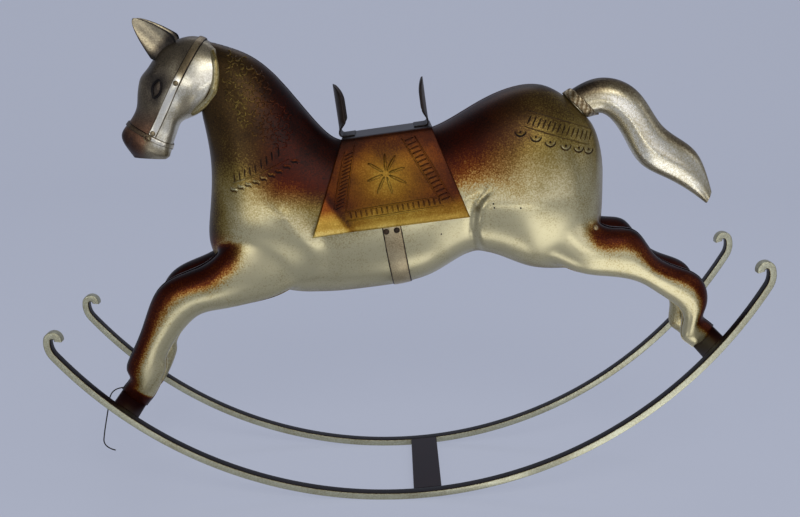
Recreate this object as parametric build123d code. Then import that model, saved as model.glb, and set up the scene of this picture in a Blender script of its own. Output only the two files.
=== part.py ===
"""Rocking horse of pressed sheet metal on two scrolled rocker bars.

Millimetres. +X runs from the nose to the tail, +Y to the horse's right side, +Z up.
The origin is on the floor, midway between the rockers, where the horse comes to rest.
"""
from build123d import *
import math
import os

# Sheet and fits
body_sheet = 0.8            # wall of the trunk and legs
head_sheet = 1.8            # heavier, which balances the longer rear of the rockers
tail_sheet = 0.5
trim_sheet = 0.9            # saddle, straps and tongues
solder_gap = 0.15           # room for solder between two soldered pieces
seam_gap = 0.10             # room between two edges that meet along a seam of the legs

# Rockers: flat bars bent to an arc, with a scroll at each end
rocker_radius = 270.8       # to the running face
rocker_thickness = 4.5
rocker_width = 6.5
rocker_spacing = 85.0       # between the middles of the two bars
front_arc_angle = 49.2      # from the floor contact to where the front scroll starts
rear_arc_angle = 60.9
scroll_entry_radius = 14.0
scroll_entry_turn = 49.0
scroll_radius = 3.4         # to the middle of the bar
scroll_turn = 178.0

# Cross bars: flat strips let in between the rockers
bar_width = 18.0
bar_thickness = 2.4
front_bar_angle = -37.4
middle_bar_angle = 6.0
rear_bar_angle = 50.2

# Legs: each pair stands this far from the middle and spreads towards the floor
leg_offset = 15.0           # middle of a hoof
leg_splay = 2.0             # degrees
hoof_length = 19.6          # along the cross bar
hoof_depth = 7.6            # half the width across
hoof_height = 8.0

# Saddle: one sheet folded over the back, with two tongues
barrel_half_width = 31.0    # of the trunk under the saddle
saddle_top_width = 36.0
saddle_drop = 60.0          # from the top to below the lower hem
flap_lie = 2.15             # a flap's middle lies this far inside the barrel's half width
hem_stand_off = 3.5         # and its hem stands this far outside it
pommel_height = 32.0
cantle_height = 29.0
tongue_width = 24.0
tongue_bend = 5.0           # inner radius where a tongue turns up
tongue_foot = 9.0
pommel_inset = -1.5         # from the saddle's front end, so that it stands a little before it
cantle_inset = 1.0

# Straps, rivets and eyes
girth_width = 12.0
cheek_strap_width = 7.0
noseband_width = 3.2
rivet_radius = 1.7
rivet_height = 0.8
eye_length = 10.0
eye_width = 6.2
eye_height = 1.3
collar_width = 6.0
collar_height = 1.6
ear_length = 26.0
ear_width = 18.0
ear_root = 5.0              # run of the leaf below its base, up to the head
ear_lean = 42.0             # degrees forward from upright
ear_cup_radius = 15.0
ear_spread = 5.0            # middle of an ear from the middle of the head

# Loose twist of tie wire
wire_diameter = 0.8

# Stations of each pressing. One station is a chord from an upper to a lower point of the side
# outline and half the depth of the pressing there: top x, top z, bottom x, bottom z, half depth.
TRUNK = (
    (-108, 285, -113, 239, 14.5),
    (-84, 277, -109, 212, 20.5),
    (-58, 254, -111, 176, 26.5),
    (-36, 229, -105, 146, 30.5),
    (-20, 224, -62, 128, barrel_half_width),
    (6, 227, -10, 129, barrel_half_width),
    (34, 234, 32, 139, 30.5),
    (60, 249, 62, 153.5, 31),
    (84, 258.5, 92, 144, 33.5),
    (108, 255, 118, 142, 31),
    (126, 240, 132, 148, 23),
    (135.5, 223, 138, 168, 9),
    (138.5, 212, 139.5, 180, 1.4),
)
FRONT_LEG = (
    (-62, 174, -50, 138, 9),
    (-82, 170, -66, 128, 12),
    (-99, 161, -82, 123, 13),
    (-112, 149.5, -101, 119, 12.5),
    (-128, 142, -116, 115.5, 11.5),
    (-142, 133, -126, 107.5, 10.5),
    (-151, 116, -134, 97, 9.5),
    (-160, 94, -140, 85, 9),
    (-166.5, 79, -140.5, 78.5, 8.5),
)
HIND_LEG = (
    (94, 196, 84, 164, 9),
    (118, 190, 106, 150, 12),
    (139, 173, 127, 141.5, 13),
    (158, 169.5, 147, 139.5, 12),
    (170, 155.5, 162, 136, 11),
    (184, 147, 174, 129, 10),
    (203, 136.5, 188, 119, 9.5),
    (206, 122, 191.5, 110, 8.5),
)
HEAD = (
    (-104, 282, -104, 252, 9),
    (-111, 286.5, -110, 245, 15.5),
    (-124, 287, -120, 238.5, 17.5),
    (-137, 280, -127, 235, 17),
    (-146, 268, -130, 229, 14.5),
    (-152.5, 255, -131.5, 225, 12.5),
    (-154, 245, -133, 221, 11.5),
    (-160.5, 234, -134.2, 217, 10.5),
    (-164.5, 226.5, -135.0, 214.6, 9.5),
    (-160.5, 217.5, -135.8, 213.2, 6.5),
    (-157.5, 213, -137.5, 212.0, 3.2),
)
TAIL = (
    (112, 252.5, 126, 239, 7.5),
    (131, 262.5, 137, 241, 9.5),
    (155, 257.5, 150, 228, 11),
    (174, 234.5, 165, 207.5, 10.5),
    (186, 225.5, 180, 200, 9.5),
    (198, 216, 193, 193, 7.5),
    (208.8, 192, 206, 184, 3),
)

# Outlines of the pieces laid on a pressing, each as its middle line in the side view
GIRTH_LINE = ((3.0, 184.0), (14.0, 122.0))
CHEEK_LINE = ((-109.0, 291.0), (-143.5, 227.5))
NOSEBAND_LINE = ((-163.0, 236.5), (-130.0, 218.5))
COLLAR_LINE = ((110.0, 259.0), (133.0, 237.0))
EYE_PLACE = (-138.2, 256.8)
EYE_SLANT = 65.0
EAR_BASE = (-135.0, 279.5)
BRIDLE_RIVETS = ((-125.5, 260.6), (-142.6, 229.4))
GIRTH_RIVETS = ((1.4, 171.8), (7.8, 172.8))
HAUNCH_RIVET = (131.0, 173.2)
SADDLE_CORNERS = ((-43.5, 169.0), (52.5, 181.5), (25.0, 244.0), (-21.0, 244.0))
SADDLE_TOP_LINE = ((-26.0, 226.0), (29.0, 233.8))
WIRE_POINTS = (
    (-167.6, -19.8, 66.6),
    (-175.4, -22.6, 67.2),
    (-177, -27.6, 53.6),
    (-178.9, -31, 41.6),
    (-180.3, -32, 30.6),
    (-172.6, -31.4, 28.2),
)

REACH = 1.5 * rocker_radius  # longer than the horse, for cutting blocks
seam_overlap = 2.0          # a cutting solid runs past the seam by this
WIRE_ARC_SHARE = 0.45       # of the shorter run at a corner


def between(first, second, share):
    """The station at a share of the way from one station to another."""
    return tuple(a + (b - a) * share for a, b in zip(first, second))


def oval(length, depth):
    """Half an oval over a chord along x, as one cubic curve from its +x end to its -x end."""
    handle = depth * 4 / 3
    return Bezier((length, 0), (length, handle), (-length, handle), (-length, 0))


def chord_plane(station):
    """Plane of a station's section, its x along the chord and its y to the left, and half the chord."""
    top_x, top_z, bottom_x, bottom_z, _ = station
    chord = Vector(top_x - bottom_x, 0, top_z - bottom_z)
    middle = Vector((top_x + bottom_x) / 2, 0, (top_z + bottom_z) / 2)
    plane = Plane(origin=middle, x_dir=chord, z_dir=chord.cross(Vector(0, -1, 0)))
    return plane, chord.length / 2


def solid_section(station, grow, overlap):
    """Left half of an oval on a station's chord, larger all round by grow.

    overlap carries the flat side past the seam, for a solid that cuts another open there.
    """
    plane, length = chord_plane(station)
    length += grow
    if overlap:
        seam = Polyline((-length, 0), (-length, -overlap), (length, -overlap), (length, 0))
    else:
        seam = Line((-length, 0), (length, 0))
    edges = [oval(length, station[-1] + grow), *seam.edges()]
    return make_face((plane * Curve(edges)).edges())


def sheet_section(station, sheet):
    """Section of the sheet itself: a half oval with the wall's thickness, open at the seam."""
    plane, length = chord_plane(station)
    inner = length - sheet
    edges = [
        oval(length, station[-1]),
        oval(inner, station[-1] - sheet),
        Line((-length, 0), (-inner, 0)),
        Line((inner, 0), (length, 0)),
    ]
    return make_face((plane * Curve(edges)).edges())


def half_shell(stations, sheet=body_sheet):
    """Left pressing of thin sheet through the stations."""
    return loft([sheet_section(station, sheet) for station in stations])


def half_solid(stations, grow=0.0, overlap=0.0):
    """Left half of a pressing's outer shape, solid."""
    return loft([solid_section(station, grow, overlap) for station in stations])


def run_on(stations, share):
    """The stations with one more before the first, by a share of the first span."""
    return (between(stations[0], stations[1], -share), *stations)


def mirrored(solid):
    """The same piece for the horse's right side."""
    return mirror(solid, about=Plane.XZ)


def both_sides(solid):
    """A left half and its mirror image as one piece across the middle."""
    return solid + mirrored(solid)


def laid_on(stations, low, high, prism):
    """Left half of a piece laid on a pressing between two heights over it, cut by a prism."""
    return (half_solid(stations, high) & prism) - half_solid(stations, low, seam_overlap)


def side_prism(outline):
    """Prism across the whole horse on a closed side-view outline of straight edges."""
    corners = [Vector(x, 0, z) for x, z in outline]
    return extrude(make_face(Polyline(*corners, close=True)), REACH, dir=(0, 1, 0), both=True)


def band_prism(line, width):
    """Prism across the horse on a straight band of the side view, given by its middle line."""
    (x0, z0), (x1, z1) = line
    along = Vector(x1 - x0, 0, z1 - z0)
    plane = Plane(origin=((x0 + x1) / 2, 0, (z0 + z1) / 2), x_dir=along, z_dir=(0, -1, 0))
    return extrude(plane * Rectangle(along.length, width), REACH, both=True)


def round_prism(place, length, width, slant=0.0):
    """Prism from the middle plane to the left on an ellipse of the side view."""
    x, z = place
    plane = Plane(origin=(x, 0, z), x_dir=(1, 0, 0), z_dir=(0, -1, 0))
    return extrude(plane * Rot(Z=slant) * Ellipse(length / 2, width / 2), REACH)


rocker_inner_radius = rocker_radius - rocker_thickness
rocker_middle_radius = rocker_radius - rocker_thickness / 2
bar_length = rocker_spacing - rocker_width
strap_top = solder_gap + trim_sheet


def rocker_half(arc_angle):
    """Half a rocker bar, from the floor contact to the tip of one scroll, towards +X."""
    arc = JernArc((0, rocker_thickness / 2), (1, 0), rocker_middle_radius, arc_angle)
    entry = JernArc(arc @ 1, arc % 1, scroll_entry_radius, scroll_entry_turn)
    curl = JernArc(entry @ 1, entry % 1, scroll_radius, scroll_turn)
    path = Plane.XZ * Curve([arc, entry, curl])
    start = Plane.YZ * Pos(0, rocker_thickness / 2) * Rectangle(rocker_width, rocker_thickness)
    return sweep(start, path=Wire(path.edges()))


def rocker():
    """One whole rocker bar in the middle plane."""
    return rocker_half(rear_arc_angle) + mirror(rocker_half(front_arc_angle), about=Plane.YZ)


def bar_plane(angle):
    """Plane on a cross bar's top: its x runs along the rocker, its normal to the arc's centre."""
    turn = math.radians(angle)
    return Plane(
        origin=(
            rocker_inner_radius * math.sin(turn),
            0,
            rocker_radius - rocker_inner_radius * math.cos(turn),
        ),
        x_dir=(math.cos(turn), 0, math.sin(turn)),
        z_dir=(-math.sin(turn), 0, math.cos(turn)),
    )


def cross_bar(angle):
    """Flat strip between the rockers, its top flush with theirs."""
    return extrude(bar_plane(angle) * Rectangle(bar_width, bar_length), -bar_thickness)


def leg_stations(stations, angle):
    """A leg's stations, ended by the crown of the hoof, its foot on the cross bar and a run below."""
    plane = bar_plane(angle)
    ends = []
    for height in (hoof_height, 0, -hoof_height):
        toe = plane.from_local_coords(Vector(-hoof_length / 2, 0, height))
        heel = plane.from_local_coords(Vector(hoof_length / 2, 0, height))
        upper, lower = (toe, heel) if angle < 0 else (heel, toe)
        ends.append((upper.X, upper.Z, lower.X, lower.Z, hoof_depth))
    return (*stations, *ends)


root_share = 0.3            # the neck and the tail run on inside by this share of their first span
rooted_trunk = run_on(TRUNK, root_share)
rooted_tail = run_on(TAIL, root_share)
trunk_keepout = half_solid(rooted_trunk, solder_gap, seam_overlap)
head_keepout = half_solid(HEAD, solder_gap, seam_overlap)


class Leg:
    """A left leg of two pressings that meet along a seam: an outer shell and an inner cover."""

    def __init__(self, stations, angle):
        plane = bar_plane(angle)
        foot = plane.origin
        self.stations = leg_stations(stations, angle)
        self.place = Pos(foot.X, -leg_offset, foot.Z) * Rot(X=leg_splay) * Pos(-foot.X, 0, -foot.Z)
        self.above_bar = extrude(plane * Rectangle(2 * REACH, 2 * REACH), REACH)

    def fitted(self, flat):
        """A pressing in its place, cut off at the cross bar and at the trunk."""
        return ((self.place * flat) & self.above_bar) - trunk_keepout

    def shell(self):
        """Outer half of the leg."""
        return self.fitted(half_shell(self.stations))

    def cover(self):
        """Inner half of the leg, clear of the middle."""
        left_of_middle = Pos(0, -REACH - seam_gap, 0) * Box(2 * REACH, 2 * REACH, 2 * REACH)
        flat = Pos(0, seam_gap, 0) * mirrored(half_shell(self.stations))
        return self.fitted(flat) & left_of_middle


front_leg = Leg(FRONT_LEG, front_bar_angle)
hind_leg = Leg(HIND_LEG, rear_bar_angle)


def body_half():
    """Left pressing of trunk and neck, open at the neck's end."""
    neck_end, _ = chord_plane(TRUNK[0])
    past_end = extrude(neck_end * Rectangle(REACH, REACH), REACH, dir=-neck_end.z_dir)
    return half_shell(rooted_trunk) - past_end


def head_half():
    """Left half of the head, a hollow mask over the end of the neck."""
    return half_shell(HEAD, head_sheet) - trunk_keepout


def tail_half():
    """Left half of the tail, let on to the rump."""
    return half_shell(rooted_tail, tail_sheet) - trunk_keepout


def ear():
    """Left ear: a leaf cut from a sheet cupped along its length, set on the head."""
    foot_x, foot_z = EAR_BASE
    upright = Plane(origin=(foot_x, -ear_spread, foot_z), x_dir=(1, 0, 0), z_dir=(0, -1, 0))
    leaf_plane = Plane(upright.location * Rot(Z=ear_lean))
    side = ear_width / 2
    belly = (side * 0.8, ear_length * 0.5)
    outline = Curve(
        [
            ThreePointArc((-side, 0), (-belly[0], belly[1]), (0, ear_length)),
            ThreePointArc((0, ear_length), belly, (side, 0)),
            Polyline((side, 0), (side, -ear_root), (-side, -ear_root), (-side, 0)),
        ]
    )
    leaf_face = make_face((leaf_plane * outline).edges())
    leaf = extrude(leaf_face, ear_cup_radius / 2, dir=leaf_plane.z_dir)
    rod = leaf_plane.location * Pos(0, 0, ear_cup_radius) * Rot(X=90)
    sheet = Cylinder(ear_cup_radius, 4 * ear_length) - Cylinder(ear_cup_radius - trim_sheet, 4 * ear_length)
    return (leaf & (rod * sheet)) - head_keepout


def eye():
    """Left eye: a raised button on the side of the head."""
    button = round_prism(EYE_PLACE, eye_length, eye_width, EYE_SLANT)
    return laid_on(HEAD, solder_gap, eye_height, button)


def tail_collar():
    """Soldered collar round the root of the tail."""
    band = band_prism(COLLAR_LINE, collar_width)
    ring = laid_on(rooted_tail, solder_gap, collar_height, band)
    return both_sides(ring - trunk_keepout)


def noseband():
    """Narrow strap round the muzzle."""
    return both_sides(laid_on(HEAD, solder_gap, strap_top, band_prism(NOSEBAND_LINE, noseband_width)))


def cheek_straps():
    """Strap over the poll and down both cheeks to the noseband."""
    noseband_room = band_prism(NOSEBAND_LINE, noseband_width + 2 * solder_gap)
    band = band_prism(CHEEK_LINE, cheek_strap_width) - noseband_room
    return both_sides(laid_on(HEAD, solder_gap, strap_top, band) - trunk_keepout)


def girth_strap():
    """Strap under the belly, its ends tucked in under the saddle's hems."""
    band = band_prism(GIRTH_LINE, girth_width)
    return both_sides(laid_on(rooted_trunk, solder_gap, strap_top, band))


def rivet_head(stations, low, place):
    """One flat rivet head on the left of a pressing, square to its surface and low over it."""
    x, z = place
    seat = half_solid(stations, low + solder_gap)
    hits = seat.find_intersection_points(Axis((x, 0, z), (0, -1, 0)))
    point, normal = min(hits, key=lambda hit: hit[0].Y)
    return Plane(point, z_dir=normal) * Pos(0, 0, rivet_height / 2) * Cylinder(rivet_radius, rivet_height)


def rivet_pairs(left_heads):
    """Rivet heads of the left side with those of the right, as separate solids of one node."""
    solids = [solid for head in left_heads for solid in head.solids()]
    return Compound(children=[*solids, *[mirrored(solid) for solid in solids]])


def haunch_rivets():
    """Rivet heads where the hind legs meet the rump."""
    head = hind_leg.place * rivet_head(hind_leg.stations, 0, HAUNCH_RIVET)
    return rivet_pairs([head - trunk_keepout])


saddle_start = Vector(SADDLE_TOP_LINE[0][0], 0, SADDLE_TOP_LINE[0][1])
saddle_end = Vector(SADDLE_TOP_LINE[1][0], 0, SADDLE_TOP_LINE[1][1])
saddle_length = (saddle_end - saddle_start).length
saddle_plane = Plane(
    origin=(saddle_start + saddle_end) * 0.5,
    x_dir=saddle_end - saddle_start,
    z_dir=(saddle_end - saddle_start).cross(Vector(0, 1, 0)),
)


def saddle_block(grow):
    """Solid under the folded saddle sheet, larger all round by grow."""
    fold = saddle_top_width / 2 + grow
    middle = barrel_half_width - flap_lie + grow
    hem = barrel_half_width + hem_stand_off + grow
    outline = Curve(
        [
            Line((-fold, grow), (fold, grow)),
            ThreePointArc((fold, grow), (middle, -saddle_drop / 2), (hem, -saddle_drop)),
            Line((hem, -saddle_drop), (-hem, -saddle_drop)),
            ThreePointArc((-hem, -saddle_drop), (-middle, -saddle_drop / 2), (-fold, grow)),
        ]
    )
    across = saddle_plane * Plane.YZ
    return extrude(make_face((across * outline).edges()), REACH, both=True)


def saddle_skirt():
    """One sheet folded over the back: a flat top and two bowed flaps with slanting edges."""
    sheet = saddle_block(trim_sheet) - saddle_block(0)
    trunk_room = half_solid(rooted_trunk, solder_gap)
    return (sheet & side_prism(SADDLE_CORNERS)) - trunk_room - mirrored(trunk_room)


def tongue(height):
    """Tongue standing on a foot, turned up at x = 0 with its foot towards +x, round at the top."""
    bend = tongue_bend + trim_sheet / 2
    middle = trim_sheet / 2
    path = FilletPolyline((tongue_foot, middle), (middle, middle), (middle, height), radius=bend)
    foot_end = Plane.YZ * Pos(0, middle) * Rectangle(tongue_width, trim_sheet)
    bent = sweep(Pos(tongue_foot, 0, 0) * foot_end, path=Wire((Plane.XZ * path).edges()))
    side = tongue_width / 2
    outline = Curve(
        [
            Polyline((-side, height - side), (-side, -1), (side, -1), (side, height - side)),
            ThreePointArc((side, height - side), (0, height), (-side, height - side)),
        ]
    )
    elevation = extrude(make_face((Plane.YZ * outline).edges()), REACH, both=True)
    return bent & elevation


def pommel_plate():
    """Tongue at the front of the saddle."""
    return saddle_plane * Pos(-saddle_length / 2 + pommel_inset, 0, trim_sheet) * tongue(pommel_height)


def cantle_plate():
    """Tongue at the back of the saddle, its foot towards the front."""
    turned = mirror(tongue(cantle_height), about=Plane.YZ)
    return saddle_plane * Pos(saddle_length / 2 - cantle_inset, 0, trim_sheet) * turned


def tie_wire():
    """Loose twist of wire: straight runs joined by the largest arcs that its corners allow."""
    points = [Vector(*point) for point in WIRE_POINTS]
    radii = []
    for before, corner, after in zip(points, points[1:], points[2:]):
        turn = math.radians((corner - before).get_angle(after - corner))
        shorter = min((corner - before).length, (after - corner).length)
        radii.append(WIRE_ARC_SHARE * shorter / math.tan(turn / 2))
    path = FilletPolyline(*points, radius=radii)
    return sweep(Plane(origin=path @ 0, z_dir=path % 0) * Circle(wire_diameter / 2), path=path)


def all_nodes():
    """Every piece by name, the right-hand ones as mirror images."""
    nodes = {
        "saddle_skirt": saddle_skirt(),
        "pommel_plate": pommel_plate(),
        "cantle_plate": cantle_plate(),
        "girth_strap": girth_strap(),
        "girth_rivets": rivet_pairs([rivet_head(rooted_trunk, strap_top, at) for at in GIRTH_RIVETS]),
        "cheek_straps": cheek_straps(),
        "noseband": noseband(),
        "bridle_rivets": rivet_pairs([rivet_head(HEAD, strap_top, at) for at in BRIDLE_RIVETS]),
        "haunch_rivets": haunch_rivets(),
        "tail_collar": tail_collar(),
        "front_cross_bar": cross_bar(front_bar_angle),
        "middle_cross_bar": cross_bar(middle_bar_angle),
        "rear_cross_bar": cross_bar(rear_bar_angle),
        "tie_wire": tie_wire(),
    }
    left_pieces = {
        "{}_body_half": body_half(),
        "front_{}_leg_shell": front_leg.shell(),
        "front_{}_leg_cover": front_leg.cover(),
        "hind_{}_leg_shell": hind_leg.shell(),
        "hind_{}_leg_cover": hind_leg.cover(),
        "{}_head_half": head_half(),
        "{}_tail_half": tail_half(),
        "{}_ear": ear(),
        "{}_eye": eye(),
        "{}_rocker": Pos(0, -rocker_spacing / 2, 0) * rocker(),
    }
    for name, solid in left_pieces.items():
        nodes[name.format("left")] = solid
        nodes[name.format("right")] = mirrored(solid)
    return nodes


os.makedirs("parts", exist_ok=True)
for node_name, node_solid in all_nodes().items():
    export_step(node_solid, f"parts/{node_name}.step")
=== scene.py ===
import logging
import math
from dataclasses import dataclass
from enum import Enum

import bmesh
import bpy
import numpy as np
from mathutils import Matrix, Vector


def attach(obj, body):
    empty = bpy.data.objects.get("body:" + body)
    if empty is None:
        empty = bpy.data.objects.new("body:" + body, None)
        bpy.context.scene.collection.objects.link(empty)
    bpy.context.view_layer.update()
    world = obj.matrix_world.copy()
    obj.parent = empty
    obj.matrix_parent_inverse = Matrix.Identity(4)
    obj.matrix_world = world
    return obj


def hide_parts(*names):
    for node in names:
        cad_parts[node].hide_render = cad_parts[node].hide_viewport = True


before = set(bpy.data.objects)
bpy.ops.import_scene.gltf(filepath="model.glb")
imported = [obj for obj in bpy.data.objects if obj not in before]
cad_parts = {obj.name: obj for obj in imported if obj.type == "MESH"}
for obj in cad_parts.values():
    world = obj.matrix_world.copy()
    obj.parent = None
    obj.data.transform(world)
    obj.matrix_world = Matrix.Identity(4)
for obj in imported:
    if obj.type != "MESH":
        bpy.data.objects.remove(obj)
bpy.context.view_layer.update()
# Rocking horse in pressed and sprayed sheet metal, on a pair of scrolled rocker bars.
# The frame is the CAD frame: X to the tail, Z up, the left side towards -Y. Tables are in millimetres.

LOG = logging.getLogger("rocking_horse")
MM = 0.001
BODY = "root"

Array = np.ndarray
Rows = tuple[tuple[float, ...], ...]
Faces = list[list[int]]

SEAM_GAP = 0.1  # each half of a pressing stands this far off the middle plane, mm
SHEET = 0.9  # saddle, plates and ears, mm
BAR_CREASE, STRAP_CREASE, SHELL_CREASE = 40.0, 50.0, 60.0  # edges that turn more stay sharp, degrees
SMOOTH = 180.0  # no edge turns more
TINY = 1e-9
WELD = 0.001  # points nearer to each other than this become one, mm


class Side(Enum):
    """The horse's own left or right; the value is the sign of Y."""

    LEFT = -1
    RIGHT = 1

    @property
    def word(self) -> str:
        """The side's name as the CAD nodes have it."""
        return self.name.lower()


# ---------------------------------------------------------------- surfaces


def smoothstep(low: float, high: float, values: Array) -> Array:
    """Rises from 0 to 1 between low and high as 3t^2 - 2t^3; low may be the larger."""
    share = np.clip((values - low) / (high - low), 0.0, 1.0)
    return share * share * (3.0 - 2.0 * share)


def bump_at(x: Array, z: Array, place: tuple[float, float], reach: tuple[float, float],
            turn: float = 0.0) -> Array:
    """A Gaussian hill of height 1 over a side view.

    Args:
        x, z: the places asked for.
        place: the hill's top.
        reach: its spread along and across its own long axis.
        turn: the long axis's angle above +X, in degrees.

    Returns:
        exp(-(along^2 / reach0^2 + across^2 / reach1^2) / 2).
    """
    angle = math.radians(turn)
    along = (x - place[0]) * math.cos(angle) + (z - place[1]) * math.sin(angle)
    across = (z - place[1]) * math.cos(angle) - (x - place[0]) * math.sin(angle)
    return np.exp(-0.5 * ((along / reach[0]) ** 2 + (across / reach[1]) ** 2))


def bumps(x: Array, z: Array, rows: tuple) -> Array:
    """The sum of Gaussian hills, each a height and then place, reach and turn as bump_at takes them."""
    return sum(height * bump_at(x, z, *hill) for height, *hill in rows)


def unit(vectors: Array) -> Array:
    """The vectors along the last axis, at length 1."""
    return vectors / np.maximum(np.linalg.norm(vectors, axis=-1, keepdims=True), TINY)


def evened(rows: Array, reach: int) -> Array:
    """Each row's mean with the rows up to reach away; the end rows count again past the ends."""
    wide = np.pad(rows, ((reach, reach),) + ((0, 0),) * (rows.ndim - 1), mode="edge")
    return sum(wide[i:i + len(rows)] for i in range(2 * reach + 1)) / (2 * reach + 1)


def smooth_rows(rows: Rows | Array, count: int) -> Array:
    """A natural cubic spline through the rows, sampled evenly along their middles.

    Args:
        rows: stations, each top x, top z, bottom x, bottom z, half depth.
        count: how many rows come back.

    Returns:
        The rows on the curve; its second derivatives solve the usual tridiagonal system.
    """
    rows = np.asarray(rows, float)
    middle = (rows[:, 0:2] + rows[:, 2:4]) / 2
    step = np.linalg.norm(np.diff(middle, axis=0), axis=1)
    knots = np.concatenate([[0.0], np.cumsum(step)])
    inner = np.arange(1, len(rows) - 1)
    system = np.eye(len(rows))
    system[inner, inner - 1] = step[:-1]
    system[inner, inner] = 2 * (step[:-1] + step[1:])
    system[inner, inner + 1] = step[1:]
    known = np.zeros_like(rows)
    known[1:-1] = 6 * np.diff(np.diff(rows, axis=0) / step[:, None], axis=0)
    bend = np.linalg.solve(system, known)
    at = np.linspace(0.0, knots[-1], count)
    cell = np.clip(np.searchsorted(knots, at, side="right") - 1, 0, len(rows) - 2)
    left = ((knots[cell + 1] - at) / step[cell])[:, None]
    right = 1.0 - left
    sixth = (step[cell] ** 2 / 6)[:, None]
    return (left * rows[cell] + right * rows[cell + 1]
            + (left**3 - left) * sixth * bend[cell] + (right**3 - right) * sixth * bend[cell + 1])


def half_oval(rows: Rows | Array, along: int, around: int) -> Array:
    """The left half of a body with oval sections.

    A section is a cubic Bezier from the station's top to its bottom, whose two handles stand
    4/3 of the half depth out to -Y, so that it bulges by exactly the half depth.

    Args:
        rows: the stations.
        along, around: samples along the body, and round a section from top to bottom.

    Returns:
        Points, along x around x 3.
    """
    station = smooth_rows(rows, along)
    t = np.linspace(0.0, 1.0, around)
    run = (1 - t) ** 3 + 3 * (1 - t) ** 2 * t - 3 * (1 - t) * t**2 - t**3
    bell = 4 * t * (1 - t)
    middle = (station[:, 0:2] + station[:, 2:4]) / 2
    half = (station[:, 0:2] - station[:, 2:4]) / 2
    flat = middle[:, None] + half[:, None] * run[None, :, None]
    depth = -np.maximum(station[:, 4:5], 0.05) * bell[None]
    return np.stack([flat[..., 0], depth, flat[..., 1]], -1)


def grid_normals(grid: Array) -> Array:
    """Unit normals of a grid of points, towards -Y: the cross product of its two gradients."""
    normal = unit(np.cross(np.gradient(grid, axis=0), np.gradient(grid, axis=1)))
    return -normal if normal[..., 1].mean() > 0 else normal


def grid_faces(rows: int, cols: int, wrap_cols: bool = False, first: int = 0) -> Faces:
    """Quads between neighbouring points of a grid; wrap_cols joins the last column to the first."""
    index = np.arange(rows * cols).reshape(rows, cols) + first
    if wrap_cols:
        index = np.concatenate([index, index[:, :1]], 1)
    quads = np.stack([index[:-1, :-1], index[1:, :-1], index[1:, 1:], index[:-1, 1:]], -1)
    return quads.reshape(-1, 4).tolist()


def tube_faces(rows: int, cols: int, first: int = 0) -> Faces:
    """Quads round a closed profile carried along a path, with one face over each end."""
    start = list(range(first, first + cols))
    end = list(range(first + (rows - 1) * cols, first + rows * cols))
    return grid_faces(rows, cols, True, first) + [start[::-1], end]


def joined(grids: list[Array]) -> tuple[Array, Faces]:
    """Points and faces of several closed tubes, each a grid of rows x profile points x 3."""
    faces, first = [], 0
    for grid in grids:
        faces += tube_faces(grid.shape[0], grid.shape[1], first)
        first += grid.shape[0] * grid.shape[1]
    return np.concatenate([grid.reshape(-1, 3) for grid in grids]), faces


def on_side(points: Array, side: Side) -> Array:
    """Points that were worked out for the left side, on the side asked for."""
    return points * np.array([1.0, -float(side.value), 1.0])


def swept(path: Array, up: Array, across: Array, profile: Array) -> Array:
    """A profile carried along a path.

    Args:
        path: K x 3 points.
        up, across: K x 3 unit vectors that the profile's two coordinates follow.
        profile: J x 2, the first coordinate along across and the second along up.

    Returns:
        K x J x 3 points: path + across * profile0 + up * profile1.
    """
    return path[:, None] + across[:, None] * profile[None, :, :1] + up[:, None] * profile[None, :, 1:]


def rounded_bar(width: float, height: float, corner: float, steps: int = 5) -> Array:
    """A rectangle with round corners as J x 2 points: four quarter circles about its corner centres."""
    quarter = np.linspace(0.0, math.pi / 2, steps)
    turn = (np.arange(4)[:, None] * math.pi / 2 + quarter).ravel()
    sign = np.repeat(np.array([[1, 1], [-1, 1], [-1, -1], [1, -1]], float), steps, axis=0)
    centre = sign * np.array([width / 2 - corner, height / 2 - corner])
    return centre + corner * np.stack([np.cos(turn), np.sin(turn)], -1)


def tubes(paths: Array, radius: float, sides: int = 6) -> list[Array]:
    """Round beads along several short paths.

    Args:
        paths: M x K x 3 points.
        radius: the bead's radius; it narrows to 0.57 of it at the two ends.
        sides: points round a bead.

    Returns:
        One K x sides x 3 grid for each path. The circle lies across the path's tangent.
    """
    tangent = unit(np.gradient(paths, axis=1))
    first = unit(np.cross(tangent, np.array([0.0, 1.0, 0.013])))
    second = np.cross(tangent, first)
    turn = np.linspace(0.0, 2 * math.pi, sides, endpoint=False)
    size = radius * (0.35 + 0.65 * np.sin(np.linspace(0.12, math.pi - 0.12, paths.shape[1])) ** 0.5)
    ring = np.cos(turn)[:, None] * first[:, :, None] + np.sin(turn)[:, None] * second[:, :, None]
    return list(paths[:, :, None] + size[None, :, None, None] * ring)


def dome(place: Array, normal: Array, radius: float, height: float, rings: int = 7,
         sides: int = 24) -> Array:
    """A domed rivet head as a closed tube grid.

    Its outline goes in polar angle a from the rim to the top, at radius * cos(a) and height * sin(a),
    with one row sunk under the sheet.
    """
    normal = unit(normal)
    first = unit(np.cross(normal, np.array([0.31, 0.0, 0.95])))
    second = np.cross(normal, first)
    angle = np.concatenate([[0.0], np.linspace(0.0, math.pi / 2 - 0.12, rings)])
    lift = np.concatenate([[-0.6], height * np.sin(angle[1:])])
    turn = np.linspace(0.0, 2 * math.pi, sides, endpoint=False)
    ring = np.cos(turn)[:, None] * first + np.sin(turn)[:, None] * second
    return place + (radius * np.cos(angle))[:, None, None] * ring[None] + lift[:, None, None] * normal


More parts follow.
